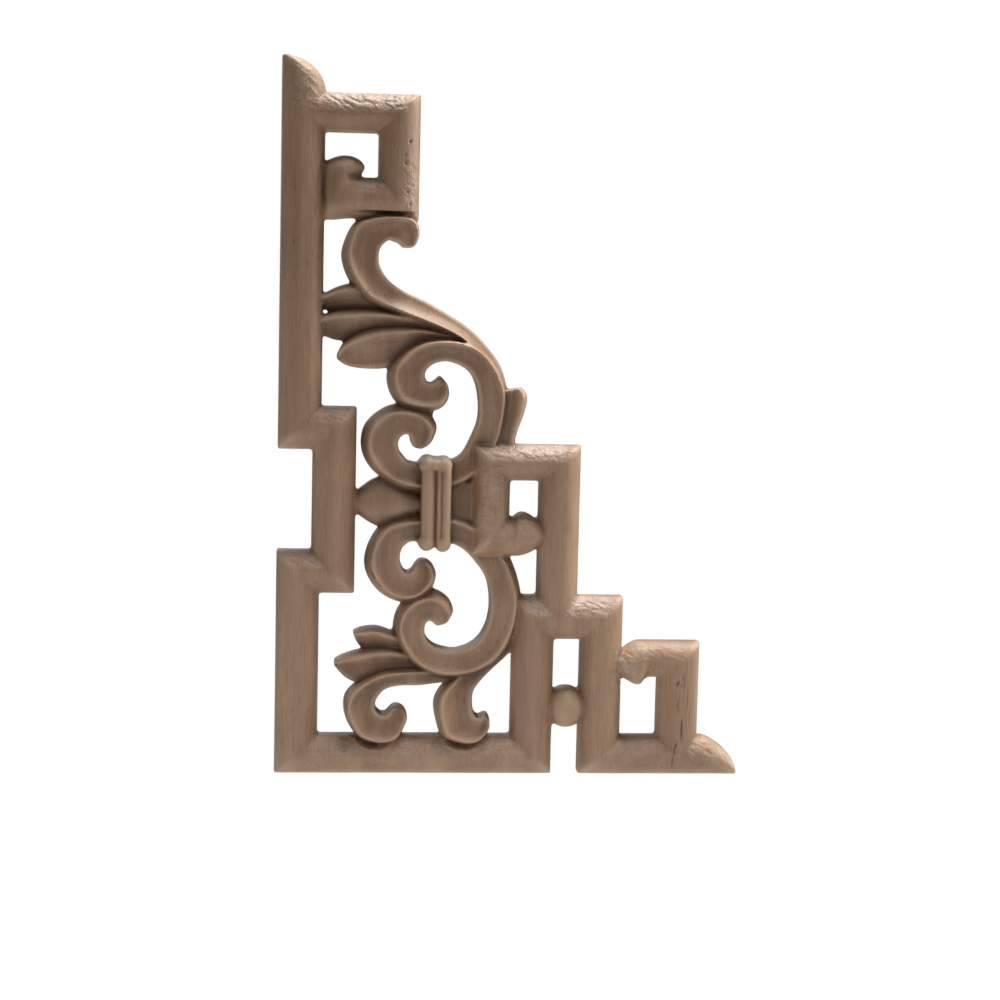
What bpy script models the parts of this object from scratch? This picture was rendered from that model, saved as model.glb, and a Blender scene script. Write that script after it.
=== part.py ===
"""Carved corner applique: a stepped fret filled with scrolls and leaves, cut from one board.

The applique stands upright with its front facing -Y and its flat back on the plane y = 0.
The origin is on the back, at the middle of the square corner block at the lower left.
"""

import math

import bmesh
import bpy

MM = 0.001

# Overall sizes, in millimetres from the lower left outer corner
HEIGHT = 220.0
WIDTH = 145.6
ORIGIN = (6.6, 6.7)
BACK_ALLOWANCE = 1.2

# Fret bars: left and right edges of the uprights
POST_X = (0.0, 13.3)
JOG_X = (10.6, 24.1)
TOP_BOX_X = (29.3, 42.0)
MID_BOX_LEFT_X = (59.8, 71.8)
MID_BOX_RIGHT_X = (80.8, 93.6)
LOW_BOX_LEFT_X = (73.4, 86.6)
LOW_BOX_RIGHT_X = (94.9, 108.1)
END_BOX_X = (119.7, 132.7)

# Fret bars: lower and upper edges of the level runs
RAIL_Z = (0.3, 12.5)
JOG_LOW_Z = (56.8, 70.2)
JOG_HIGH_Z = (101.2, 114.6)
TOP_BOX_LOW_Z = (171.7, 184.1)
TOP_BOX_HIGH_Z = (197.4, 209.3)
MID_BOX_LOW_Z = (69.0, 81.3)
MID_BOX_HIGH_Z = (92.5, 103.8)
LOW_BOX_HIGH_Z = (43.0, 56.7)
END_BOX_HIGH_Z = (31.2, 42.6)

# Quarter-round ends of the fret
POST_END_RISE = 11.0
RAIL_END_CENTRE_X = 125.0
RAIL_END_RISE = 14.1
END_STEPS = 6

# Relief heights above the back
BAR_WALL = 4.2
BAR_CROWN = 9.6
BAR_ARCH = 1.9
CLASP_CROWN = 11.6
WEB_HEIGHT = 2.6

# Clasp: two upright reeds that bind the scrolls, each as its middle x, low end and high end
REEDS = ((46.45, 70.9, 100.2), (51.05, 70.35, 99.75))
REED_HALF = 2.35
REED_FLARE = 0.9

# Rounded ends of two runs that curl against the next bar: x, inner edge z, outer edge z
MID_BOX_END = (
    (73.0, 81.0, 69.0), (74.4, 82.3, 69.0), (76.2, 82.7, 69.3), (78.4, 81.8, 70.2), (80.6, 80.3, 71.6),
    (82.6, 78.2, 73.6),
)
END_BOX_END = (
    (116.6, 31.2, 42.6), (115.2, 30.3, 42.6), (114.2, 28.9, 42.6), (112.4, 28.9, 42.3), (110.6, 29.8, 41.4),
    (108.6, 31.0, 39.8), (106.6, 32.6, 38.4), (104.6, 34.6, 37.2),
)

# Ball carved between the two uprights of the low box: centre x, z, half width, half height
BALL = (90.8, 21.6, 6.4, 6.5)
BALL_CROWN = 10.2

# Channels cut in the bottom rail around the two lower curls: centre x, z, radius
CHANNELS = (
    (31.2, 20.4, 12.0),
    (58.7, 19.3, 11.0),
)
CHANNEL_FLOOR = 4.6

# Cross sections: fraction of the way over from the first edge, height as a fraction of the crown
SCROLL_SECTION = (
    (0.0, 0.48), (0.05, 0.74), (0.12, 0.93), (0.2, 1.0), (0.29, 0.95),
    (0.46, 0.82), (0.7, 0.75), (0.93, 0.76), (1.0, 0.66),
)
FOOT_SECTION = (
    (0.0, 0.62), (0.05, 0.80), (0.13, 0.94), (0.23, 1.0), (0.33, 0.95),
    (0.5, 0.77), (0.7, 0.68), (0.9, 0.70), (1.0, 0.52),
)
LEAF_SECTION = (
    (0.0, 0.62), (0.07, 0.9), (0.16, 1.0), (0.32, 0.93), (0.58, 0.7), (0.82, 0.46), (1.0, 0.32),
)
FREE_LEAF_SECTION = (
    (0.0, 0.62), (0.07, 0.9), (0.15, 1.0), (0.3, 0.92), (0.58, 0.72), (0.86, 0.66), (1.0, 0.5),
)
SPEAR_SECTION = (
    (0.0, 0.55), (0.12, 0.8), (0.36, 1.0), (0.64, 1.0), (0.88, 0.8), (1.0, 0.55),
)
SIDE_LEAF_SECTION = (
    (0.0, 0.55), (0.1, 0.85), (0.22, 1.0), (0.36, 0.86), (0.5, 0.62), (1.0, 0.55),
)

# Ribs: each is a cut across a carved band, given as the x and z of its rim edge, the x and z of
# its inner edge, and the height of its crown. A smooth surface is drawn through them.
CREST_SCROLL = (
    (37.4, 163.2, 37.0, 163.4, 7.6), (40.9, 163.7, 35.7, 164.6, 8.6), (42.8, 168.2, 34.4, 165.0, 9.3),
    (40.7, 172.2, 33.2, 165.5, 9.4), (35.2, 173.4, 32.1, 164.8, 9.3), (28.3, 173.0, 31.0, 163.8, 9.2),
    (22.3, 170.4, 30.1, 162.0, 9.2), (18.9, 163.4, 30.0, 159.0, 9.2), (18.8, 158.4, 30.9, 156.3, 9.3),
    (21.3, 152.5, 33.4, 153.0, 9.4), (26.1, 147.2, 37.9, 150.0, 9.3), (36.0, 143.0, 45.7, 146.6, 9.0),
    (50.2, 138.2, 57.3, 139.7, 8.6), (58.7, 133.1, 63.9, 133.5, 8.2), (64.4, 126.5, 68.4, 127.2, 7.8),
    (67.4, 117.9, 70.7, 118.9, 7.6),
)
UPPER_SCROLL = (
    (50.0, 88.4, 49.0, 97.2, 7.6), (59.6, 92.6, 56.2, 99.8, 5.6), (67.5, 102.8, 60.4, 105.2, 5.8),
    (69.8, 113.5, 61.7, 111.9, 8.2), (69.6, 121.4, 61.3, 119.2, 9.2), (66.0, 128.8, 59.2, 124.6, 9.4),
    (60.4, 134.2, 56.1, 127.4, 9.4), (53.0, 136.2, 51.6, 128.9, 9.4), (45.2, 135.8, 48.0, 128.4, 9.4),
    (38.7, 132.8, 45.6, 126.8, 9.4), (33.5, 126.8, 44.6, 124.8, 9.4), (33.5, 120.4, 45.2, 123.0, 9.4),
    (36.8, 115.4, 46.3, 122.4, 9.4), (43.6, 113.4, 47.3, 122.8, 9.4), (49.4, 114.2, 48.1, 123.5, 9.4),
    (52.1, 117.5, 48.5, 123.9, 9.3), (51.9, 121.5, 48.8, 124.1, 8.8), (49.6, 124.4, 49.2, 124.5, 7.4),
)
LEFT_SCROLL = (
    (50.0, 88.0, 49.6, 97.2, 8.8), (39.1, 89.4, 40.8, 98.0, 8.8), (33.2, 92.0, 38.7, 99.6, 9.0),
    (28.3, 95.9, 37.2, 101.5, 9.2), (25.6, 101.4, 36.8, 103.6, 9.3), (25.9, 107.6, 37.4, 105.3, 9.3),
    (29.0, 112.0, 38.4, 106.2, 9.2), (34.3, 115.2, 39.5, 106.4, 8.9), (39.9, 115.4, 40.1, 106.1, 8.8),
    (45.4, 113.7, 40.4, 105.2, 9.0), (48.7, 109.4, 40.6, 104.4, 9.0), (47.8, 104.4, 41.0, 103.2, 8.6),
    (44.5, 101.5, 42.0, 101.9, 7.6),
)
LEFT_LOW_SCROLL = (
    (50.0, 82.0, 49.6, 73.0, 8.8), (39.6, 81.0, 41.9, 73.4, 8.8), (32.6, 78.6, 39.2, 71.9, 9.0),
    (28.7, 73.4, 38.2, 70.1, 9.2), (27.0, 67.3, 38.0, 67.7, 9.3), (28.1, 62.2, 38.8, 65.2, 9.3),
    (31.8, 57.3, 39.8, 64.0, 9.4), (37.3, 54.4, 40.8, 64.1, 9.4), (42.9, 54.5, 41.9, 65.0, 9.4),
    (47.5, 57.5, 42.5, 66.1, 9.2), (49.5, 62.5, 43.1, 66.8, 8.8), (47.3, 66.9, 44.0, 67.4, 7.4),
)
LOWER_SCROLL = (
    (50.0, 82.6, 49.4, 74.2, 8.2), (59.8, 80.2, 56.6, 71.6, 7.0), (67.8, 75.4, 61.5, 66.9, 6.4),
    (73.0, 67.2, 65.0, 61.4, 7.4), (75.9, 57.5, 66.1, 54.0, 9.2), (75.5, 49.3, 65.2, 47.9, 9.6),
    (72.7, 41.0, 62.8, 43.4, 9.6), (67.7, 35.0, 59.3, 40.8, 9.5), (59.9, 31.2, 55.3, 39.7, 9.4),
    (51.4, 30.7, 51.1, 40.3, 9.4), (44.2, 33.5, 48.2, 41.6, 9.4), (39.1, 38.7, 46.4, 43.8, 9.4),
    (36.3, 45.5, 46.0, 46.3, 9.4), (37.8, 52.4, 46.6, 48.2, 9.0), (42.5, 56.7, 47.7, 48.7, 8.6),
    (48.4, 58.2, 48.7, 48.0, 8.6), (53.2, 55.8, 49.3, 47.3, 8.8), (55.2, 51.9, 49.9, 46.8, 8.6),
    (53.3, 47.8, 50.7, 46.6, 7.4),
)
LEFT_FOOT = (
    (56.0, 32.0, 56.5, 29.4, 6.4), (46.5, 33.4, 51.0, 28.9, 7.4), (38.9, 33.6, 44.6, 28.4, 8.6),
    (31.8, 32.2, 39.0, 27.9, 9.2), (25.7, 29.0, 35.3, 27.2, 9.6), (21.9, 25.2, 32.5, 25.3, 10.2),
    (21.3, 20.6, 31.4, 23.0, 10.8), (23.3, 15.4, 32.0, 20.4, 11.2), (26.9, 11.6, 33.4, 19.1, 11.2),
    (32.8, 10.1, 34.5, 19.8, 11.2), (38.6, 11.4, 35.4, 20.9, 11.0), (41.4, 16.1, 36.3, 21.7, 10.4),
    (40.9, 20.6, 37.9, 22.1, 8.6),
)
RIGHT_FOOT = (
    (65.5, 42.6, 77.0, 42.6, 6.0), (60.4, 37.0, 71.4, 37.0, 6.4), (55.5, 31.2, 66.0, 31.2, 7.4),
    (51.6, 27.6, 62.6, 27.0, 9.4),
    (49.4, 23.1, 61.3, 23.5, 10.4), (49.9, 17.6, 61.7, 20.6, 11.0), (52.8, 12.6, 62.7, 18.9, 11.2),
    (57.7, 10.2, 63.8, 18.8, 11.2), (62.9, 10.6, 64.6, 19.2, 11.0), (66.6, 14.6, 65.2, 19.4, 10.2),
    (66.9, 18.2, 66.0, 19.4, 8.6),
)
TOP_LEAF = (
    (11.5, 147.7, 11.5, 144.6, 6.6), (17.0, 150.8, 17.1, 143.2, 6.8), (21.6, 152.0, 22.3, 142.8, 6.8),
    (26.1, 150.8, 28.4, 142.6, 6.4), (32.4, 147.4, 34.9, 142.2, 5.8), (42.0, 143.6, 42.4, 140.8, 5.2),
)
MIDDLE_LEAF = (
    (11.5, 140.4, 11.5, 136.8, 6.8), (16.5, 143.1, 17.0, 134.7, 7.2), (21.7, 144.3, 22.4, 134.6, 7.4),
    (28.4, 144.3, 29.1, 136.2, 7.4), (36.3, 143.2, 37.0, 137.8, 7.2), (44.4, 141.2, 45.0, 137.6, 6.6),
    (54.0, 137.4, 54.4, 134.8, 6.0),
)
BOTTOM_LEAF = (
    (17.4, 130.3, 17.6, 129.1, 7.2), (19.3, 133.6, 20.7, 127.0, 7.4), (23.0, 136.5, 25.6, 126.2, 7.8),
    (28.5, 138.7, 32.3, 126.4, 7.8), (35.5, 139.4, 37.6, 128.8, 7.6), (43.2, 139.0, 43.3, 133.2, 7.2),
    (49.3, 137.8, 49.4, 134.4, 6.8), (56.5, 136.2, 56.5, 133.8, 6.4),
)
LOW_LEAF_A = (
    (23.8, 44.9, 24.6, 42.1, 7.0), (26.4, 46.0, 26.7, 39.4, 7.2), (30.6, 46.5, 31.0, 38.4, 7.2),
    (34.6, 45.4, 35.1, 37.6, 7.0), (40.0, 43.0, 40.5, 36.6, 6.6),
)
LOW_LEAF_B = (
    (18.2, 35.9, 18.2, 34.0, 7.2), (21.2, 37.5, 21.9, 30.2, 7.4), (25.8, 38.9, 26.4, 28.6, 7.4),
    (32.0, 39.9, 32.4, 30.4, 7.2), (38.2, 39.3, 38.9, 31.8, 6.8), (46.5, 36.4, 46.8, 31.8, 6.4),
)
SPEAR_LEAF = (
    (21.2, 85.7, 21.3, 83.5, 5.6), (25.0, 89.2, 25.1, 80.9, 6.0), (31.4, 92.9, 31.6, 77.6, 6.4),
    (38.5, 89.4, 38.7, 80.2, 6.4), (44.0, 87.2, 44.0, 82.2, 6.0),
    (50.7, 86.3, 50.7, 83.0, 5.8),
)
SIDE_LEAF = (
    (72.7, 101.0, 67.5, 101.0, 6.4), (73.5, 106.9, 67.8, 106.6, 6.8), (75.7, 113.4, 68.2, 113.0, 7.2),
    (76.5, 118.7, 68.4, 117.3, 7.6), (74.7, 121.4, 68.8, 120.4, 7.6),
)
TOP_HOOK = (
    (28.0, 171.7, 28.0, 184.1), (21.0, 171.7, 25.6, 184.1), (12.8, 171.7, 24.5, 184.3),
    (12.7, 180.0, 24.3, 184.7), (12.9, 187.4, 24.3, 184.9), (16.0, 189.9, 24.4, 185.1),
    (20.4, 190.5, 24.5, 185.3), (23.9, 189.2, 24.6, 185.6), (25.5, 187.1, 24.9, 185.9),
)

# Bands that curl tightly and are drawn with more steps
TIGHT_BANDS = ("left_scroll", "left_low_scroll", "left_foot", "right_foot")

# Low webs that close the creases behind the bands, as corner points
WEBS = (
    ((17.2, 141.0), (28.0, 140.0), (60.0, 132.0), (58.0, 135.0), (34.0, 146.0), (18.0, 146.5)),
    ((31.0, 92.0), (37.0, 86.0), (50.0, 84.6), (50.0, 90.0), (40.0, 91.5)),
    ((31.0, 78.6), (40.0, 79.0), (50.0, 80.0), (50.0, 84.4), (37.0, 84.0)),
    ((49.0, 78.0), (66.0, 73.0), (66.0, 100.0), (49.0, 93.5)),
    ((26.0, 43.0), (30.0, 36.0), (44.0, 32.0), (44.0, 38.0), (38.0, 44.0)),
    ((36.6, 113.0), (40.0, 110.0), (47.0, 110.0), (48.0, 114.6), (42.0, 116.5), (37.6, 116.4)),
    ((38.0, 50.0), (46.0, 50.0), (50.0, 57.0), (44.0, 58.5)),
)

# Wood colour
WOOD_COLOUR = (0.235, 0.135, 0.082, 1.0)
WOOD_ROUGHNESS = 0.55


def clear_scene():
    """Remove every object of the scene."""
    for found in list(bpy.data.objects):
        bpy.data.objects.remove(found, do_unlink=True)


def wood_material():
    """Return the stained wood material."""
    material = bpy.data.materials.new("stained_wood")
    material.use_nodes = True
    shader = material.node_tree.nodes["Principled BSDF"]
    shader.inputs["Base Color"].default_value = WOOD_COLOUR
    shader.inputs["Roughness"].default_value = WOOD_ROUGHNESS
    shader.inputs["Metallic"].default_value = 0.0
    return material


def point(x, z, height):
    """Return the place of a point of the drawing that stands this high above the back."""
    return ((x - ORIGIN[0]) * MM, -height * MM, (z - ORIGIN[1]) * MM)


def solid_from_rings(name, rings):
    """Return a closed solid whose skin runs over the rings in turn, with both ends capped."""
    shape = bmesh.new()
    rows = [[shape.verts.new(place) for place in ring] for ring in rings]
    count = len(rows[0])
    for row, following in zip(rows, rows[1:]):
        for k in range(count):
            n = (k + 1) % count
            shape.faces.new((row[k], row[n], following[n], following[k]))
    shape.faces.new(list(reversed(rows[0])))
    shape.faces.new(rows[-1])
    bmesh.ops.recalc_face_normals(shape, faces=shape.faces)
    mesh = bpy.data.meshes.new(name)
    shape.to_mesh(mesh)
    shape.free()
    body = bpy.data.objects.new(name, mesh)
    bpy.context.scene.collection.objects.link(body)
    return body


def smooth_ribs(ribs, steps):
    """Return ribs with this many steps between each pair, on a smooth curve through them."""
    fine = []
    last = len(ribs) - 1
    for k in range(last):
        before, start = ribs[max(k - 1, 0)], ribs[k]
        end, after = ribs[k + 1], ribs[min(k + 2, last)]
        for step in range(steps):
            t = step / steps
            fine.append(tuple(
                0.5 * (2 * b + (c - a) * t + (2 * a - 5 * b + 4 * c - d) * t * t
                       + (3 * b - a - 3 * c + d) * t ** 3)
                for a, b, c, d in zip(before, start, end, after)))
    fine.append(tuple(ribs[-1]))
    return fine


def carved_band(name, ribs, section, back, steps, slim=4.0):
    """Return a band carved to a cross section, drawn through its ribs.

    A rib narrower than slim is lower in proportion, so that tips taper.
    """
    rings = []
    for ax, az, bx, bz, crown in smooth_ribs(ribs, steps):
        narrow = min(1.0, math.hypot(bx - ax, bz - az) / slim)
        crown *= 0.62 + 0.38 * narrow
        ring = [point(ax, az, -back)]
        for across, level in section:
            ring.append(point(ax + (bx - ax) * across, az + (bz - az) * across, crown * level))
        ring.append(point(bx, bz, -back))
        rings.append(ring)
    return solid_from_rings(name, rings)


def arch_section(steps=8):
    """Return the fret's half-round section from its wall, over the crown, to its other wall."""
    section = []
    for k in range(steps + 1):
        angle = math.pi * k / steps
        across = 0.5 - 0.5 * math.cos(angle)
        rise = (1.0 - abs(2.0 * across - 1.0) ** BAR_ARCH) ** (1.0 / BAR_ARCH)
        section.append((across, rise))
    return section


def bar_run(name, edges, back, crown=BAR_CROWN, wall=BAR_WALL):
    """Return a half-round bar between two edges, mitred at the corners.

    edges are pairs of points, one on each edge. A bar that narrows gets lower.
    """
    rings = []
    full = max(min(abs(bx - ax) + abs(bz - az), 13.0) for ax, az, bx, bz in edges)
    for ax, az, bx, bz in edges:
        share = min(1.0, math.hypot(bx - ax, bz - az) / full)
        top = wall + (crown - wall) * math.sqrt(share)
        ring = [point(ax, az, -back)]
        for across, rise in arch_section():
            height = wall + (top - wall) * rise
            ring.append(point(ax + (bx - ax) * across, az + (bz - az) * across, height))
        ring.append(point(bx, bz, -back))
        rings.append(ring)
    return solid_from_rings(name, rings)


def main_fret_edges():
    """Return the edge pairs of the long run, from the top of the post to the end of the rail."""
    left, right = POST_X
    edges = []
    for k in range(END_STEPS):
        angle = math.radians(86.0 - 86.0 * k / END_STEPS)
        z = HEIGHT - POST_END_RISE + POST_END_RISE * math.sin(angle)
        edges.append((left, z, left + (right - left) * math.cos(angle), z))
    edges.append((left, HEIGHT - POST_END_RISE, right, HEIGHT - POST_END_RISE))
    edges.append((left, JOG_HIGH_Z[0], right, JOG_HIGH_Z[1]))
    edges.append((JOG_X[0], JOG_HIGH_Z[0], JOG_X[1], JOG_HIGH_Z[1]))
    edges.append((JOG_X[0], JOG_LOW_Z[1], JOG_X[1], JOG_LOW_Z[0]))
    edges.append((left, JOG_LOW_Z[1], right, JOG_LOW_Z[0]))
    edges.append((left, RAIL_Z[0], right, RAIL_Z[1]))
    edges.append((LOW_BOX_LEFT_X[1], RAIL_Z[0], LOW_BOX_LEFT_X[0], RAIL_Z[1]))
    edges.append((LOW_BOX_LEFT_X[1], LOW_BOX_HIGH_Z[0], LOW_BOX_LEFT_X[0], LOW_BOX_HIGH_Z[1]))
    edges.append((LOW_BOX_RIGHT_X[0], LOW_BOX_HIGH_Z[0], LOW_BOX_RIGHT_X[1], LOW_BOX_HIGH_Z[1]))
    edges.append((LOW_BOX_RIGHT_X[0], RAIL_Z[0], LOW_BOX_RIGHT_X[1], RAIL_Z[1]))
    reach = WIDTH - RAIL_END_CENTRE_X
    for k in range(END_STEPS + 1):
        angle = math.radians(78.0 - 74.0 * k / END_STEPS)
        x = RAIL_END_CENTRE_X + reach * math.cos(angle)
        edges.append((x, RAIL_Z[0], x, min(RAIL_Z[1], RAIL_END_RISE * math.sin(angle))))
    return edges


def fret_runs():
    """Return the edge pairs of each run of the fret, by name."""
    post_middle = sum(POST_X) / 2.0
    top_box = [
        (post_middle, TOP_BOX_HIGH_Z[1], post_middle, TOP_BOX_HIGH_Z[0]),
        (TOP_BOX_X[1], TOP_BOX_HIGH_Z[1], TOP_BOX_X[0], TOP_BOX_HIGH_Z[0]),
        (TOP_BOX_X[1], TOP_BOX_LOW_Z[0], TOP_BOX_X[0], TOP_BOX_LOW_Z[1]),
    ] + smooth_ribs(TOP_HOOK, 3)
    root = sum(LOW_BOX_HIGH_Z) / 2.0
    mid_box = [
        (MID_BOX_RIGHT_X[0], root, MID_BOX_RIGHT_X[1], root),
        (MID_BOX_RIGHT_X[0], MID_BOX_HIGH_Z[0], MID_BOX_RIGHT_X[1], MID_BOX_HIGH_Z[1]),
        (MID_BOX_LEFT_X[1], MID_BOX_HIGH_Z[0], MID_BOX_LEFT_X[0], MID_BOX_HIGH_Z[1]),
        (MID_BOX_LEFT_X[1], MID_BOX_LOW_Z[1], MID_BOX_LEFT_X[0], MID_BOX_LOW_Z[0]),
    ] + [(x, inner, x, outer) for x, inner, outer in smooth_ribs(MID_BOX_END, 2)]
    root = sum(RAIL_Z) / 2.0
    end_box = [
        (END_BOX_X[0], root, END_BOX_X[1], root),
        (END_BOX_X[0], END_BOX_HIGH_Z[0], END_BOX_X[1], END_BOX_HIGH_Z[1]),
    ] + [(x, inner, x, outer) for x, inner, outer in smooth_ribs(END_BOX_END, 2)]
    return {"fret": main_fret_edges(), "top_box": top_box, "mid_box": mid_box, "end_box": end_box}


def ball(x, z, half_width, half_height, back, around=20, rows=4):
    """Return the ball between the uprights: an upright wall with a dome over it."""
    rings = []
    levels = [(1.0, -back), (1.0, BAR_WALL)]
    for k in range(1, rows):
        angle = 0.5 * math.pi * k / rows
        levels.append((math.cos(angle), BAR_WALL + (BALL_CROWN - BAR_WALL) * math.sin(angle)))
    levels.append((0.12, BALL_CROWN))
    for share, height in levels:
        ring = []
        for k in range(around):
            angle = 2.0 * math.pi * (k + 0.5) / around
            ring.append(point(x + half_width * share * math.cos(angle),
                              z + half_height * share * math.sin(angle), height))
        rings.append(ring)
    return solid_from_rings("ball", rings)


def reed(name, x, low, high, back):
    """Return one upright reed of the clasp, flared and rounded at its ends."""
    middle = (low + high) / 2.0
    half = (high - low) / 2.0
    ribs = []
    for k in range(13):
        angle = math.pi * (k + 0.35) / 12.7
        z = middle - half * math.cos(angle)
        near = min(1.0, (half - abs(z - middle)) / 3.6)
        flare = REED_FLARE * (abs(z - middle) / half) ** 4
        wide = (REED_HALF + flare) * math.sqrt(1.0 - (1.0 - near) ** 2)
        ribs.append((x - wide, z, x + wide, z))
    return bar_run(name, ribs, back, crown=CLASP_CROWN, wall=CLASP_CROWN * 0.8)


def web(name, corners, back):
    """Return a flat web with these corners."""
    rings = [[point(x, z, height) for x, z in corners] for height in (-back, WEB_HEIGHT)]
    return solid_from_rings(name, rings)


def channel(name, x, z, radius):
    """Return the round cutter of the channel around a lower curl."""
    rings = []
    for height in (CHANNEL_FLOOR, BAR_CROWN + 6.0):
        ring = []
        for k in range(28):
            angle = 2.0 * math.pi * (k + 0.5) / 28
            ring.append(point(x + radius * math.cos(angle), z + radius * math.sin(angle), height))
        rings.append(ring)
    return solid_from_rings(name, rings)


def back_cutter():
    """Return the block that is planed off behind the back."""
    mesh = bpy.data.meshes.new("back_block")
    shape = bmesh.new()
    bmesh.ops.create_cube(shape, size=1.0)
    depth = 10.0
    for vert in shape.verts:
        x = WIDTH / 2.0 + vert.co.x * (WIDTH + 40.0)
        z = HEIGHT / 2.0 + vert.co.z * (HEIGHT + 40.0)
        vert.co = point(x, z, -(vert.co.y + 0.5) * depth)
    shape.to_mesh(mesh)
    shape.free()
    block = bpy.data.objects.new("back_block", mesh)
    bpy.context.scene.collection.objects.link(block)
    return block


def combine(body, other, operation, curls=False):
    """Join another solid to the body, or cut it away, and remove the other.

    curls is for a run whose end curls into its own bar.
    """
    step = body.modifiers.new(operation.lower(), "BOOLEAN")
    step.operation = operation
    step.solver = "EXACT"
    step.use_self = curls
    step.object = other
    bpy.context.view_layer.update()
    evaluated = body.evaluated_get(bpy.context.evaluated_depsgraph_get())
    mesh = bpy.data.meshes.new_from_object(evaluated)
    body.modifiers.clear()
    body.data = mesh
    bpy.data.objects.remove(other, do_unlink=True)
    return body


def carved_pieces():
    """Return the bands, leaves, webs and clasp that fill the fret, as separate solids."""
    bands = (
        ("crest_scroll", CREST_SCROLL, SCROLL_SECTION),
        ("upper_scroll", UPPER_SCROLL, SCROLL_SECTION),
        ("left_scroll", LEFT_SCROLL, SCROLL_SECTION),
        ("left_low_scroll", LEFT_LOW_SCROLL, SCROLL_SECTION),
        ("lower_scroll", LOWER_SCROLL, SCROLL_SECTION),
        ("left_foot", LEFT_FOOT, FOOT_SECTION),
        ("right_foot", RIGHT_FOOT, FOOT_SECTION),
        ("top_leaf", TOP_LEAF, LEAF_SECTION),
        ("middle_leaf", MIDDLE_LEAF, LEAF_SECTION),
        ("bottom_leaf", BOTTOM_LEAF, FREE_LEAF_SECTION),
        ("low_leaf_a", LOW_LEAF_A, LEAF_SECTION),
        ("low_leaf_b", LOW_LEAF_B, FREE_LEAF_SECTION),
        ("spear_leaf", SPEAR_LEAF, SPEAR_SECTION),
        ("side_leaf", SIDE_LEAF, SIDE_LEAF_SECTION),
    )
    pieces = []
    back = BACK_ALLOWANCE
    for name, ribs, section in bands:
        back += 0.09
        steps = 3 if name in TIGHT_BANDS else 2
        pieces.append(carved_band(name, ribs, section, back, steps))
    for number, corners in enumerate(WEBS):
        back += 0.09
        pieces.append(web("web_%d" % number, corners, back))
    for number, sizes in enumerate(REEDS):
        back += 0.09
        pieces.append(reed("reed_%d" % number, *sizes, back))
    return pieces


def applique():
    """Return the whole applique as one solid."""
    back = BACK_ALLOWANCE
    body = None
    for name, edges in fret_runs().items():
        back += 0.11
        run = bar_run(name, edges, back)
        body = run if body is None else combine(body, run, "UNION", curls=True)
    body = combine(body, ball(*BALL, back + 0.11), "UNION")
    for number, sizes in enumerate(CHANNELS):
        body = combine(body, channel("channel_%d" % number, *sizes), "DIFFERENCE")
    for piece in carved_pieces():
        body = combine(body, piece, "UNION")
    body = combine(body, back_cutter(), "DIFFERENCE")
    body.name = "carved_corner_applique"
    body.data.name = "carved_corner_applique"
    return body


def main():
    """Build the applique in an empty scene."""
    clear_scene()
    body = applique()
    material = wood_material()
    body.data.materials.clear()
    body.data.materials.append(material)
    body.data.shade_smooth()
    body.data.set_sharp_from_angle(angle=math.radians(35.0))


main()
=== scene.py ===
"""Looks of a carved corner applique: a stepped fret filled with scrolls and leaves.

Sizes are in millimetres on the drawing of the piece: x runs to the right and z up from the lower
left outer corner, and a height runs forward from the flat back. The frame's origin is on the back,
behind the corner block at the lower left.
"""

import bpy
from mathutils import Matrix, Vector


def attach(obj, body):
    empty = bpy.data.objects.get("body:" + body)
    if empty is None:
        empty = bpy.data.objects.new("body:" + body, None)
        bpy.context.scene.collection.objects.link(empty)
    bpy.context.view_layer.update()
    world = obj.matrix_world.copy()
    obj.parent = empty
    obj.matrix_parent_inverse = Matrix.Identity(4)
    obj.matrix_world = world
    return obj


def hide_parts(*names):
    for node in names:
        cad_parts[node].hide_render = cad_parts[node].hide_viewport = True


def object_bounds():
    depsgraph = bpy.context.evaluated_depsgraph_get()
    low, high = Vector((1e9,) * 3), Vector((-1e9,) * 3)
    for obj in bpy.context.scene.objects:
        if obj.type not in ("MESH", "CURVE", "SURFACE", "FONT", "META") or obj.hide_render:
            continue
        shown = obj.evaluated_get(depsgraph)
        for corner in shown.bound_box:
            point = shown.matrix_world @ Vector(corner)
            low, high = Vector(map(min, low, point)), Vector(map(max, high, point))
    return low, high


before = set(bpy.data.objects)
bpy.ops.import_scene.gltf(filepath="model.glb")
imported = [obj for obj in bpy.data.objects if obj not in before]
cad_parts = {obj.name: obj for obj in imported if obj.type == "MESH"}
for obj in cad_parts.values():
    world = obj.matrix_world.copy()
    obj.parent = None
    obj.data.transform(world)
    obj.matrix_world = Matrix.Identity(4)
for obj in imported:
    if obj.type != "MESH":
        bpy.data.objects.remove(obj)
CAD_BOX = [list(corner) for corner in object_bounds()]

import logging
import math
from dataclasses import dataclass, field
from enum import Enum

import bmesh
import bpy
import numpy as np
from mathutils import Matrix, Vector, noise
from mathutils.bvhtree import BVHTree

log = logging.getLogger("applique")

MM = 0.001
BEHIND = -1.0  # where a carved part ends behind the back, before the back is planed flat
NODE = "carved_corner_applique"
SLOT = "stained_wood"
WHITE = (1.0, 1.0, 1.0, 1.0)

Pair = tuple[float, float]
EdgePair = tuple[float, float, float, float]
Rib = tuple[float, float, float, float, float]
Socket = bpy.types.NodeSocket


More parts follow.
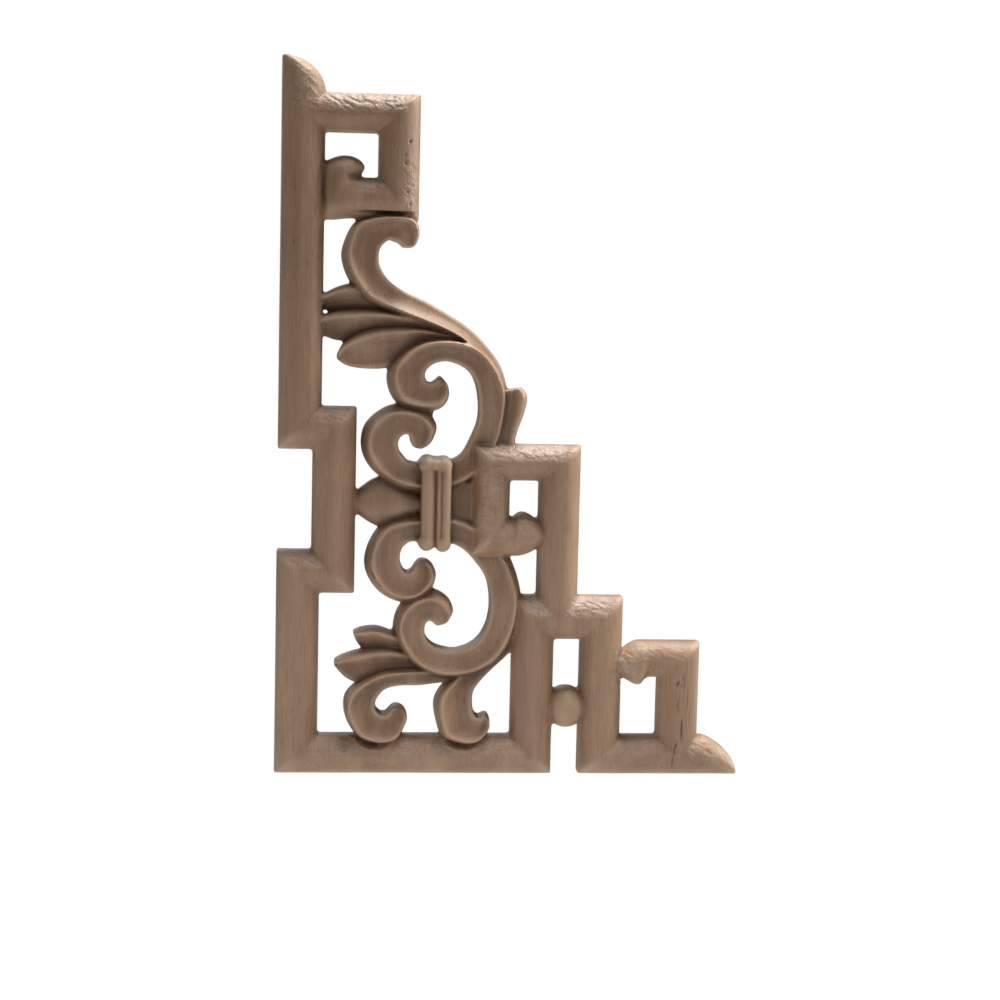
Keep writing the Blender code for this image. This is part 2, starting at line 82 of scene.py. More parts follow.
class Section(Enum):
    """The cross sections that bands are carved to, from the rim edge to the inner edge.

    Each value holds pairs: the share of the way over, and the height as a share of the crown.
    """

    SCROLL = (
        (0.0, 0.42), (0.03, 0.54), (0.09, 0.7), (0.16, 0.87), (0.2, 0.965), (0.225, 1.0), (0.25, 0.985),
        (0.31, 0.93), (0.42, 0.865), (0.58, 0.82), (0.74, 0.805), (0.88, 0.82), (0.955, 0.83),
        (0.985, 0.79), (1.0, 0.66),
    )
    FOOT = (
        (0.0, 0.56), (0.04, 0.72), (0.09, 0.86), (0.14, 0.965), (0.17, 1.0), (0.2, 0.985), (0.27, 0.92),
        (0.4, 0.84), (0.58, 0.77), (0.76, 0.745), (0.9, 0.75), (0.97, 0.72), (1.0, 0.56),
    )
    LEAF = (
        (0.0, 0.58), (0.04, 0.82), (0.1, 0.96), (0.17, 1.0), (0.26, 0.95), (0.42, 0.81), (0.6, 0.66),
        (0.8, 0.47), (1.0, 0.32),
    )
    FREE_LEAF = (
        (0.0, 0.58), (0.04, 0.82), (0.1, 0.96), (0.16, 1.0), (0.25, 0.94), (0.42, 0.8), (0.6, 0.7),
        (0.82, 0.66), (0.9, 0.68), (0.96, 0.64), (1.0, 0.48),
    )
    SPEAR = (
        (0.0, 0.52), (0.1, 0.78), (0.24, 0.94), (0.4, 1.0), (0.6, 1.0), (0.76, 0.94), (0.9, 0.78),
        (1.0, 0.52),
    )
    SIDE_LEAF = (
        (0.0, 0.5), (0.07, 0.8), (0.16, 0.96), (0.24, 1.0), (0.34, 0.95), (0.5, 0.88), (0.75, 0.85),
        (0.96, 0.84), (1.0, 0.72),
    )


@dataclass(frozen=True)
class Board:
    """The board that the piece is cut from, and where its drawing lies in the frame."""

    height: float = 220.0
    width: float = 145.6
    origin_x: float = 6.6
    origin_z: float = 6.7

    def place(self, x: float, z: float, height: float) -> Vector:
        """Return the place in the frame of a point of the drawing.

        Args:
            x: distance right of the lower left outer corner.
            z: distance above it.
            height: distance forward from the back.

        Returns:
            The point in metres.
        """
        return Vector(((x - self.origin_x) * MM, -height * MM, (z - self.origin_z) * MM))


BOARD = Board()


def smooth_rows(rows: tuple, steps: int) -> list[tuple]:
    """Return the rows with more between them, on a smooth curve through them.

    Args:
        rows: rows of numbers, all of one length.
        steps: how many steps each gap is divided into.

    Returns:
        The finer rows, the given ones among them.
    """
    fine = []
    last = len(rows) - 1
    for k in range(last):
        before, start = rows[max(k - 1, 0)], rows[k]
        end, after = rows[k + 1], rows[min(k + 2, last)]
        for step in range(steps):
            t = step / steps
            fine.append(tuple(
                0.5 * (2 * b + (c - a) * t + (2 * a - 5 * b + 4 * c - d) * t * t
                       + (3 * b - a - 3 * c + d) * t ** 3)
                for a, b, c, d in zip(before, start, end, after)))
    fine.append(tuple(rows[-1]))
    return fine


def in_scene(name: str, content: bmesh.types.BMesh | bpy.types.ID) -> bpy.types.Object:
    """Return a new object in the scene.

    Args:
        name: the object's name.
        content: its light or camera, or the shape that its mesh is made from, which is used up.

    Returns:
        The object.
    """
    if isinstance(content, bmesh.types.BMesh):
        shape, content = content, bpy.data.meshes.new(name)
        shape.to_mesh(content)
        shape.free()
    body = bpy.data.objects.new(name, content)
    bpy.context.scene.collection.objects.link(body)
    return body


def oval(x: float, z: float, wide: float, high: float, height: float, count: int) -> list[Vector]:
    """Return a level oval around a point of the drawing.

    Args:
        x: how far right its middle is.
        z: how far up its middle is.
        wide: half its width.
        high: half its extent upward.
        height: how far forward it lies.
        count: how many points it has.

    Returns:
        The points in metres.
    """
    turns = [2.0 * math.pi * (k + 0.5) / count for k in range(count)]
    return [BOARD.place(x + wide * math.cos(turn), z + high * math.sin(turn), height) for turn in turns]


def loft(name: str, rings: list[list[Vector]]) -> bpy.types.Object:
    """Return a closed shape made by extruding a ring from place to place.

    Args:
        name: the object's name.
        rings: the ring's points at each place, all of one count.

    Returns:
        The shape as a mesh object, with both ends filled.
    """
    shape = bmesh.new()
    verts = [shape.verts.new(place) for place in rings[0]]
    edges = [shape.edges.new(ends) for ends in zip(verts, verts[1:] + verts[:1])]
    bmesh.ops.contextual_create(shape, geom=edges)
    for ring in rings[1:]:
        made = bmesh.ops.extrude_edge_only(shape, edges=edges)["geom"]
        fresh = {part for part in made if isinstance(part, bmesh.types.BMVert)}
        verts = [next(edge.other_vert(vert) for edge in vert.link_edges if edge.other_vert(vert) in fresh)
                 for vert in verts]
        for vert, place in zip(verts, ring):
            vert.co = place
        edges = [part for part in made if isinstance(part, bmesh.types.BMEdge) and set(part.verts) <= fresh]
    bmesh.ops.contextual_create(shape, geom=edges)
    bmesh.ops.recalc_face_normals(shape, faces=shape.faces)
    return in_scene(name, shape)


def apply_modifiers(body: bpy.types.Object) -> None:
    """Make an object's modifiers part of its mesh.

    Args:
        body: the object.
    """
    bpy.context.view_layer.update()
    evaluated = body.evaluated_get(bpy.context.evaluated_depsgraph_get())
    mesh = bpy.data.meshes.new_from_object(evaluated)
    body.modifiers.clear()
    body.data = mesh


def combine(body: bpy.types.Object, other: bpy.types.Object, operation: str) -> None:
    """Join another shape to the body or cut it away, and remove the other.

    Args:
        body: the shape that stays.
        other: the shape that is used up.
        operation: UNION or DIFFERENCE.
    """
    step = body.modifiers.new(operation.lower(), "BOOLEAN")
    step.operation = operation
    step.solver = "EXACT"
    step.use_self = operation == "UNION"
    step.object = other
    apply_modifiers(body)
    bpy.data.objects.remove(other, do_unlink=True)


@dataclass
class Fret:
    """The stepped half-round frame.

    An upright is its left and right edges, a level run its low and high edges, a box's end rows of
    x, inner and outer edge, and the hook edge pairs. The ball is its middle, half width and half
    height, a channel its middle and radius. What reaches behind the back is planed off later.
    """

    post: Pair = (0.0, 13.3)
    jog: Pair = (10.6, 24.1)
    top_box: Pair = (29.3, 42.0)
    mid_box_left: Pair = (59.8, 71.8)
    mid_box_right: Pair = (80.8, 93.6)
    low_box_left: Pair = (73.4, 86.6)
    low_box_right: Pair = (94.9, 108.1)
    end_box: Pair = (119.7, 132.7)
    rail: Pair = (0.3, 12.5)
    jog_low: Pair = (56.8, 70.2)
    jog_high: Pair = (101.2, 114.6)
    top_box_low: Pair = (171.7, 184.1)
    top_box_high: Pair = (197.4, 209.3)
    mid_box_low: Pair = (69.0, 81.3)
    mid_box_high: Pair = (92.5, 103.8)
    low_box_high: Pair = (43.0, 56.7)
    end_box_high: Pair = (31.2, 42.6)
    post_end_rise: float = 11.0
    post_end_turn: float = 86.0
    rail_end_centre: float = 125.0
    rail_end_rise: float = 14.1
    rail_end_turn: float = 78.0
    rail_end_sweep: float = 74.0
    end_steps: int = 14
    wall: float = 4.2
    crown: float = 9.6
    arch: float = 1.9
    arch_steps: int = 20
    full_width: float = 13.0
    run_steps: int = 6
    run_behind: float = 1.2
    box_behind: float = 1.3
    box_behind_step: float = 0.1
    mid_box_end: tuple = (
        (73.0, 81.0, 69.0), (74.4, 82.3, 69.0), (76.2, 82.7, 69.3), (78.4, 81.8, 70.2),
        (80.6, 80.3, 71.6), (82.6, 78.2, 73.6),
    )
    end_box_end: tuple = (
        (116.6, 31.2, 42.6), (115.2, 30.3, 42.6), (114.2, 28.9, 42.6), (112.4, 28.9, 42.3),
        (110.6, 29.8, 41.4), (108.6, 31.0, 39.8), (106.6, 32.6, 38.4), (104.6, 34.6, 37.2),
    )
    hook: tuple = (
        (28.0, 171.7, 28.0, 184.1), (21.0, 171.7, 25.6, 184.1), (12.8, 171.7, 24.5, 184.3),
        (12.7, 180.0, 24.3, 184.7), (12.9, 187.4, 24.3, 184.9), (16.0, 189.9, 24.4, 185.1),
        (20.4, 190.5, 24.5, 185.3), (23.9, 189.2, 24.6, 185.6), (25.5, 187.1, 24.9, 185.9),
    )
    ball: tuple = (90.8, 21.6, 6.4, 6.5)
    ball_crown: float = 10.2
    ball_behind: float = 1.7
    ball_tip: float = 0.08
    ball_rows: int = 10
    ball_points: int = 48
    channels: tuple = ((31.2, 20.4, 12.0), (58.7, 19.3, 11.0))
    channel_floor: float = 4.6
    channel_taper: Pair = (-1.7, 1.4)
    channel_clear: float = 6.0
    channel_points: int = 64

    def corner(self, upright: Pair, level: Pair, inner: int = 0, over: int = 0) -> EdgePair:
        """Return the edge pair where an upright meets a level run, from one edge of each."""
        return upright[inner], level[over], upright[1 - inner], level[1 - over]

    def main_run(self) -> list[EdgePair]:
        """Return the long run, from the top of the post to the end of the rail.

        Returns:
            Its edge pairs.
        """
        left, right = self.post
        rise, turn = self.post_end_rise, self.post_end_turn
        edges = []
        for k in range(self.end_steps):
            angle = math.radians(turn - turn * k / self.end_steps)
            z = BOARD.height - rise + rise * math.sin(angle)
            edges.append((left, z, left + (right - left) * math.cos(angle), z))
        edges += [
            (left, BOARD.height - rise, right, BOARD.height - rise),
            self.corner(self.post, self.jog_high),
            self.corner(self.jog, self.jog_high),
            self.corner(self.jog, self.jog_low, 0, 1),
            self.corner(self.post, self.jog_low, 0, 1),
            self.corner(self.post, self.rail),
            self.corner(self.low_box_left, self.rail, 1),
            self.corner(self.low_box_left, self.low_box_high, 1),
            self.corner(self.low_box_right, self.low_box_high),
            self.corner(self.low_box_right, self.rail),
        ]
        reach = BOARD.width - self.rail_end_centre
        for k in range(self.end_steps + 1):
            angle = math.radians(self.rail_end_turn - self.rail_end_sweep * k / self.end_steps)
            x = self.rail_end_centre + reach * math.cos(angle)
            edges.append((x, self.rail[0], x, min(self.rail[1], self.rail_end_rise * math.sin(angle))))
        return edges

    def box_runs(self) -> dict[str, list[EdgePair]]:
        """Return the three shorter runs.

        Returns:
            Their edge pairs, by name.
        """
        middle = sum(self.post) / 2.0
        top = [
            self.corner((middle, middle), self.top_box_high, 0, 1),
            self.corner(self.top_box, self.top_box_high, 1, 1),
            self.corner(self.top_box, self.top_box_low, 1),
        ] + smooth_rows(self.hook, self.run_steps)
        root = sum(self.low_box_high) / 2.0
        mid = [
            self.corner(self.mid_box_right, (root, root)),
            self.corner(self.mid_box_right, self.mid_box_high),
            self.corner(self.mid_box_left, self.mid_box_high, 1),
            self.corner(self.mid_box_left, self.mid_box_low, 1, 1),
        ] + [(x, inner, x, outer) for x, inner, outer in smooth_rows(self.mid_box_end, self.run_steps)]
        root = sum(self.rail) / 2.0
        end = [
            self.corner(self.end_box, (root, root)),
            self.corner(self.end_box, self.end_box_high),
        ] + [(x, inner, x, outer) for x, inner, outer in smooth_rows(self.end_box_end, self.run_steps)]
        return {"top_box": top, "mid_box": mid, "end_box": end}

    def bar(self, name: str, edges: list[EdgePair], back: float) -> bpy.types.Object:
        """Return a half-round bar between two edges, mitred at its corners.

        Args:
            name: the bar's name.
            edges: pairs of points, one on each edge.
            back: how far it reaches behind the back, to be planed off.

        Returns:
            The bar.
        """
        arch = []
        for k in range(self.arch_steps + 1):
            across = 0.5 - 0.5 * math.cos(math.pi * k / self.arch_steps)
            arch.append((across, (1.0 - abs(2.0 * across - 1.0) ** self.arch) ** (1.0 / self.arch)))
        rings = []
        for ax, az, bx, bz in edges:
            share = min(1.0, math.hypot(bx - ax, bz - az) / self.full_width)
            top = (self.crown - self.wall) * math.sqrt(share)
            ring = [BOARD.place(ax, az, -back)]
            ring += [BOARD.place(ax + (bx - ax) * across, az + (bz - az) * across, self.wall + top * rise)
                     for across, rise in arch]
            ring.append(BOARD.place(bx, bz, -back))
            rings.append(ring)
        return loft(name, rings)

    def dome(self) -> bpy.types.Object:
        """Return the ball between the low box's uprights.

        Returns:
            A round wall with a dome over it.
        """
        x, z, wide, high = self.ball
        levels = [(1.0, -self.ball_behind), (1.0, self.wall)]
        for k in range(1, self.ball_rows):
            angle = 0.5 * math.pi * k / self.ball_rows
            levels.append((math.cos(angle), self.wall + (self.ball_crown - self.wall) * math.sin(angle)))
        levels.append((self.ball_tip, self.ball_crown))
        return loft("ball", [oval(x, z, wide * share, high * share, height, self.ball_points)
                             for share, height in levels])

    def channel(self, name: str, x: float, z: float, radius: float) -> bpy.types.Object:
        """Return the round tapered cutter that frees a foot curl from the rail."""
        heights = (self.channel_floor, self.crown + self.channel_clear)
        return loft(name, [oval(x, z, radius + wider, radius + wider, height, self.channel_points)
                           for wider, height in zip(self.channel_taper, heights)])

    def build(self) -> bpy.types.Object:
        """Return the whole fret.

        Returns:
            The runs and the ball in one shape, with the channels cut in the rail.
        """
        body = self.bar("fret", self.main_run(), self.run_behind)
        for number, (name, edges) in enumerate(self.box_runs().items()):
            behind = self.box_behind + self.box_behind_step * number
            combine(body, self.bar(name, edges, behind), "UNION")
        combine(body, self.dome(), "UNION")
        for number, sizes in enumerate(self.channels):
            combine(body, self.channel("channel_%d" % number, *sizes), "DIFFERENCE")
        return body


@dataclass(frozen=True)
class Band:
    """A scroll or leaf: ribs across it, and the section that it is carved to.

    A rib is the x and z of its rim edge, the x and z of its inner edge, and its crown height. The
    lean is the rib where the face starts to fall away, the rib where it falls fully, and how much
    of the crown it falls by at the inner edge. The rims say how far over the rim stands at the
    first ribs; from there on it stands at rim_share.
    """

    name: str
    section: Section
    ribs: tuple[Rib, ...]
    steps: int = 6
    profile_steps: int = 3
    slim: float = 4.0
    slim_crown: float = 0.62
    lean: tuple[float, float, float] = (0.0, 1.0, 0.0)
    rims: tuple[float, ...] = ()
    rim_share: float = 0.225

    def shifted(self, across: float, rim: float) -> float:
        """Return a share of the way over, moved so that the rim stands at the given share.

        Args:
            across: the share of the way over in the section.
            rim: the share where the rim has to stand.

        Returns:
            The moved share.
        """
        if across < self.rim_share:
            return across * rim / self.rim_share
        return 1.0 - (1.0 - across) * (1.0 - rim) / (1.0 - self.rim_share)

    def build(self) -> bpy.types.Object:
        """Return the band, drawn smoothly through its ribs and lowered where it gets slim.

        Returns:
            The band as a shape of its own.
        """
        profile = smooth_rows(self.section.value, self.profile_steps)
        first, full, fall = self.lean
        rims = self.rims + (self.rim_share,) * (len(self.ribs) - len(self.rims))
        rows = [rib + (rim,) for rib, rim in zip(self.ribs, rims, strict=True)]
        rings = []
        for k, (ax, az, bx, bz, crown, rim) in enumerate(smooth_rows(rows, self.steps)):
            narrow = min(1.0, math.hypot(bx - ax, bz - az) / self.slim)
            top = crown * (self.slim_crown + (1.0 - self.slim_crown) * narrow)
            leant = fall * min(1.0, max(0.0, (k / self.steps - first) / (full - first)))
            ring = [BOARD.place(ax, az, BEHIND)]
            for share, level in profile:
                across = self.shifted(share, rim)
                ring.append(BOARD.place(ax + (bx - ax) * across, az + (bz - az) * across,
                                        top * (level - leant * max(0.0, across - rim))))
            ring.append(BOARD.place(bx, bz, BEHIND))
            rings.append(ring)
        return loft(self.name, rings)


CARVED_BANDS = (
    Band("crest_scroll", Section.SCROLL, (
        (37.4, 163.2, 37.0, 163.4, 7.6), (40.9, 163.7, 35.7, 164.6, 8.6), (42.3, 168.1, 34.4, 165.0, 9.3),
        (40.7, 171.9, 33.2, 165.5, 9.4), (35.2, 172.9, 32.1, 164.8, 9.3), (28.3, 172.6, 31.0, 163.8, 9.2),
        (22.3, 170.4, 30.1, 162.0, 9.2), (18.9, 163.4, 30.0, 159.0, 9.2), (18.8, 158.4, 30.9, 156.3, 9.3),
        (21.3, 152.5, 33.4, 153.0, 9.4), (26.1, 147.2, 37.9, 150.0, 9.3), (36.0, 143.0, 45.7, 146.6, 9.0),
        (50.2, 138.2, 57.3, 139.7, 8.6), (58.7, 133.1, 63.9, 133.5, 8.2), (64.4, 126.5, 68.4, 127.2, 7.8),
        (67.4, 117.9, 70.7, 118.9, 7.6),
    ), lean=(7.5, 11.5, 0.42), rims=(
        0.12, 0.1, 0.09, 0.09, 0.08, 0.09, 0.13, 0.2, 0.225, 0.225, 0.225, 0.23, 0.23, 0.22, 0.2, 0.2,
    )),
    Band("upper_scroll", Section.SCROLL, (
        (50.0, 88.4, 49.0, 97.2, 8.2), (59.6, 92.6, 55.8, 100.1, 7.4), (67.5, 102.8, 59.2, 105.9, 6.8),
        (69.8, 113.5, 61.2, 111.9, 8.2), (69.6, 121.4, 61.0, 119.0, 9.2), (66.0, 128.8, 59.2, 124.6, 9.4),
        (60.4, 134.2, 56.1, 127.4, 9.4), (53.0, 136.2, 51.6, 128.9, 9.4), (45.2, 135.8, 48.0, 128.4, 9.4),
        (38.7, 132.8, 45.6, 126.8, 9.4), (33.5, 126.8, 44.6, 124.8, 9.4), (33.5, 120.4, 45.2, 123.0, 9.4),
        (36.8, 115.4, 46.3, 122.4, 9.4), (43.6, 113.4, 47.3, 122.8, 9.4), (49.4, 114.2, 48.1, 123.5, 9.4),
        (52.1, 117.5, 48.5, 123.9, 9.3), (51.9, 121.5, 48.8, 124.1, 8.8), (49.6, 124.4, 49.2, 124.5, 7.4),
    ), rims=(
        0.2, 0.18, 0.15, 0.14, 0.14, 0.15, 0.17, 0.19, 0.21,
    )),
    Band("left_scroll", Section.SCROLL, (
        (50.0, 88.0, 49.6, 97.2, 8.8), (39.1, 89.4, 40.8, 98.0, 8.8), (33.2, 92.0, 38.7, 99.6, 9.0),
        (28.3, 95.9, 37.2, 101.5, 9.2), (25.6, 101.4, 36.8, 103.6, 9.3), (25.9, 107.6, 37.4, 105.3, 9.3),
        (29.0, 112.0, 38.4, 106.2, 9.2), (34.3, 115.2, 39.5, 106.4, 8.9), (39.9, 115.4, 40.1, 106.1, 8.8),
        (45.4, 113.7, 40.4, 105.2, 9.0), (48.6, 109.4, 40.5, 104.6, 9.0), (47.9, 105.4, 40.7, 103.8, 8.8),
        (46.4, 103.1, 41.2, 102.9, 8.4), (44.5, 102.0, 42.0, 102.2, 7.8), (43.5, 101.9, 42.9, 101.95, 7.2),
    )),
    Band("left_low_scroll", Section.SCROLL, (
        (50.0, 82.0, 49.6, 73.0, 8.8), (39.6, 81.0, 41.9, 73.4, 8.8), (32.6, 78.6, 39.2, 71.9, 9.0),
        (28.7, 73.4, 38.2, 70.1, 9.2), (27.0, 67.3, 38.0, 67.7, 9.3), (28.1, 62.2, 38.8, 65.2, 9.3),
        (31.8, 57.3, 39.8, 64.0, 9.4), (37.3, 54.4, 40.8, 64.1, 9.4), (42.9, 54.5, 41.9, 65.0, 9.4),
        (47.5, 57.5, 42.5, 66.1, 9.2), (49.4, 62.3, 42.8, 66.4, 8.8), (48.4, 65.7, 43.1, 66.9, 8.3),
        (46.7, 67.4, 43.9, 67.6, 7.8), (45.5, 67.8, 44.8, 67.85, 7.2),
    )),
    Band("lower_scroll", Section.SCROLL, (
        (50.0, 82.6, 49.4, 74.2, 8.4), (59.8, 80.2, 56.6, 71.6, 8.0), (67.8, 75.4, 61.5, 66.9, 7.2),
        (73.0, 67.2, 65.0, 61.4, 7.4), (75.9, 57.5, 66.1, 54.0, 9.2), (75.5, 49.3, 65.2, 47.9, 9.6),
        (72.7, 41.0, 62.8, 43.4, 9.6), (67.7, 35.0, 59.3, 40.8, 9.5), (59.9, 31.2, 55.3, 39.7, 9.4),
        (51.4, 30.7, 51.1, 40.3, 9.4), (44.2, 33.5, 48.2, 41.6, 9.4), (39.1, 38.7, 46.4, 43.8, 9.4),
        (36.3, 45.5, 46.0, 46.3, 9.4), (37.8, 52.4, 46.6, 48.2, 9.0), (42.5, 56.7, 47.7, 48.7, 8.6),
        (48.4, 58.2, 48.7, 48.0, 8.6), (53.0, 55.8, 49.1, 47.7, 8.8), (54.9, 52.2, 49.3, 47.4, 8.6),
        (54.3, 49.7, 49.8, 47.1, 8.2), (52.7, 47.8, 50.5, 47.0, 7.7), (51.8, 47.3, 51.1, 47.05, 7.2),
    )),
    Band("left_foot", Section.FOOT, (
        (56.0, 32.0, 56.5, 29.4, 6.4), (46.5, 33.4, 51.0, 28.9, 7.4), (38.9, 33.6, 44.6, 28.2, 8.6),
        (31.8, 32.2, 38.8, 28.2, 9.2), (25.7, 29.0, 34.5, 27.2, 9.6), (21.9, 25.2, 32.3, 25.2, 10.2),
        (21.3, 20.6, 31.2, 23.0, 10.8), (23.3, 15.4, 31.4, 20.9, 11.2), (26.9, 11.6, 32.6, 19.7, 11.2),
        (32.8, 10.1, 33.9, 19.4, 11.2), (37.9, 11.4, 34.9, 20.1, 11.0), (40.4, 15.5, 35.6, 20.9, 10.4),
        (41.2, 18.2, 36.4, 21.7, 9.8), (40.5, 20.3, 37.5, 22.0, 9.0), (39.5, 21.4, 38.4, 21.9, 8.2),
    )),
    Band("right_foot", Section.FOOT, (
        (65.5, 42.6, 77.0, 42.6, 6.0), (60.4, 37.0, 71.4, 37.0, 6.4), (55.5, 31.2, 65.5, 31.4, 7.4),
        (51.6, 27.6, 61.9, 27.1, 9.4), (49.4, 23.1, 61.3, 23.5, 10.4), (49.9, 17.6, 61.7, 20.6, 11.0),
        (52.0, 12.5, 62.7, 18.9, 11.2), (57.7, 10.2, 63.8, 18.8, 11.2), (62.9, 10.6, 64.6, 19.2, 11.0),
        (66.6, 14.6, 65.2, 19.4, 10.2), (66.9, 18.2, 66.0, 19.4, 8.6),
    )),
    Band("top_leaf", Section.LEAF, (
        (11.5, 147.7, 11.5, 144.6, 6.6), (17.0, 150.8, 17.1, 143.2, 6.8), (21.6, 152.0, 22.3, 142.8, 6.8),
        (26.1, 150.8, 28.4, 142.6, 6.4), (32.4, 147.4, 34.9, 142.2, 5.8), (42.0, 143.6, 42.4, 140.8, 5.2),
    )),
    Band("middle_leaf", Section.LEAF, (
        (11.5, 141.5, 11.5, 136.8, 6.8), (16.2, 143.5, 17.0, 134.7, 7.2), (21.7, 144.3, 22.4, 134.6, 7.4),
        (28.4, 144.3, 29.1, 136.2, 7.4), (36.3, 143.2, 37.0, 137.8, 7.2), (44.4, 141.2, 45.0, 137.6, 6.6),
        (54.0, 137.4, 54.4, 134.8, 6.0),
    )),
    Band("bottom_leaf", Section.FREE_LEAF, (
        (17.5, 130.1, 17.7, 128.9, 7.2), (19.3, 133.6, 20.7, 127.0, 7.4), (23.0, 136.5, 25.6, 126.2, 7.8),
        (28.5, 138.7, 32.3, 126.4, 7.8), (35.5, 139.4, 37.6, 128.8, 7.6), (43.2, 139.0, 43.3, 133.2, 7.2),
        (49.3, 137.8, 49.4, 134.4, 6.8), (56.5, 136.2, 56.5, 133.8, 6.4),
    )),
    Band("low_leaf_a", Section.LEAF, (
        (23.8, 44.9, 24.6, 42.1, 7.0), (26.4, 46.0, 26.7, 39.4, 7.2), (30.6, 46.5, 31.0, 38.4, 7.2),
        (34.6, 45.4, 35.1, 37.6, 7.0), (40.0, 43.0, 40.5, 36.6, 6.6),
    )),
    Band("low_leaf_b", Section.FREE_LEAF, (
        (18.2, 35.9, 18.2, 34.0, 7.2), (21.2, 37.5, 21.9, 30.2, 7.4), (25.8, 38.9, 26.4, 28.6, 7.4),
        (32.0, 39.9, 32.4, 30.4, 7.2), (38.2, 39.3, 38.9, 31.8, 6.8), (46.5, 36.4, 46.8, 31.8, 6.4),
    )),
    Band("spear_leaf", Section.SPEAR, (
        (21.2, 85.7, 21.3, 83.5, 5.6), (25.0, 89.2, 25.1, 80.9, 6.0), (31.4, 92.9, 31.6, 77.6, 6.4),
        (38.5, 89.4, 38.7, 80.2, 6.4), (44.0, 87.2, 44.0, 82.2, 6.0), (50.7, 86.3, 50.7, 83.0, 5.8),
    )),
    Band("side_leaf", Section.SIDE_LEAF, (
        (72.7, 101.0, 67.5, 101.0, 6.4), (73.5, 106.9, 67.8, 106.6, 6.8), (75.7, 113.4, 68.2, 113.0, 7.2),
        (76.5, 118.7, 68.4, 117.3, 7.6), (74.7, 121.4, 68.8, 120.4, 7.6),
    )),
)


@dataclass
class Scrollwork:
    """The scrolls, leaves and foot curls that fill the fret, and the webs that close its creases."""

    web_height: float = 2.6
    bands: tuple[Band, ...] = CARVED_BANDS
    webs: tuple = (
        ((15.7, 141.0), (28.0, 140.0), (60.0, 132.0), (58.0, 135.0), (34.0, 146.0), (16.0, 146.0)),
        ((31.0, 92.0), (37.0, 86.0), (50.0, 84.6), (50.0, 90.0), (40.0, 91.5)),
        ((31.0, 78.6), (40.0, 79.0), (50.0, 80.0), (50.0, 84.4), (37.0, 84.0)),
        ((49.0, 78.0), (66.0, 73.0), (66.0, 100.0), (49.0, 93.5)),
        ((26.0, 43.0), (30.0, 36.0), (44.0, 32.0), (44.0, 38.0), (38.0, 44.0)),
        ((36.6, 113.0), (40.0, 110.0), (47.0, 110.0), (48.0, 114.6), (42.0, 116.5), (37.6, 116.4)),
        ((38.0, 50.0), (46.0, 50.0), (50.0, 57.0), (44.0, 58.5)),
    )

    def web(self, name: str, corners: tuple[Pair, ...]) -> bpy.types.Object:
        """Return a low flat web that closes a crease between bands."""
        rings = [[BOARD.place(x, z, height) for x, z in corners] for height in (BEHIND, self.web_height)]
        return loft(name, rings)

    def build(self) -> list[bpy.types.Object]:
        """Return every band and web as a shape of its own."""
        shapes = [band.build() for band in self.bands]
        return shapes + [self.web("web_%d" % number, corners) for number, corners in enumerate(self.webs)]


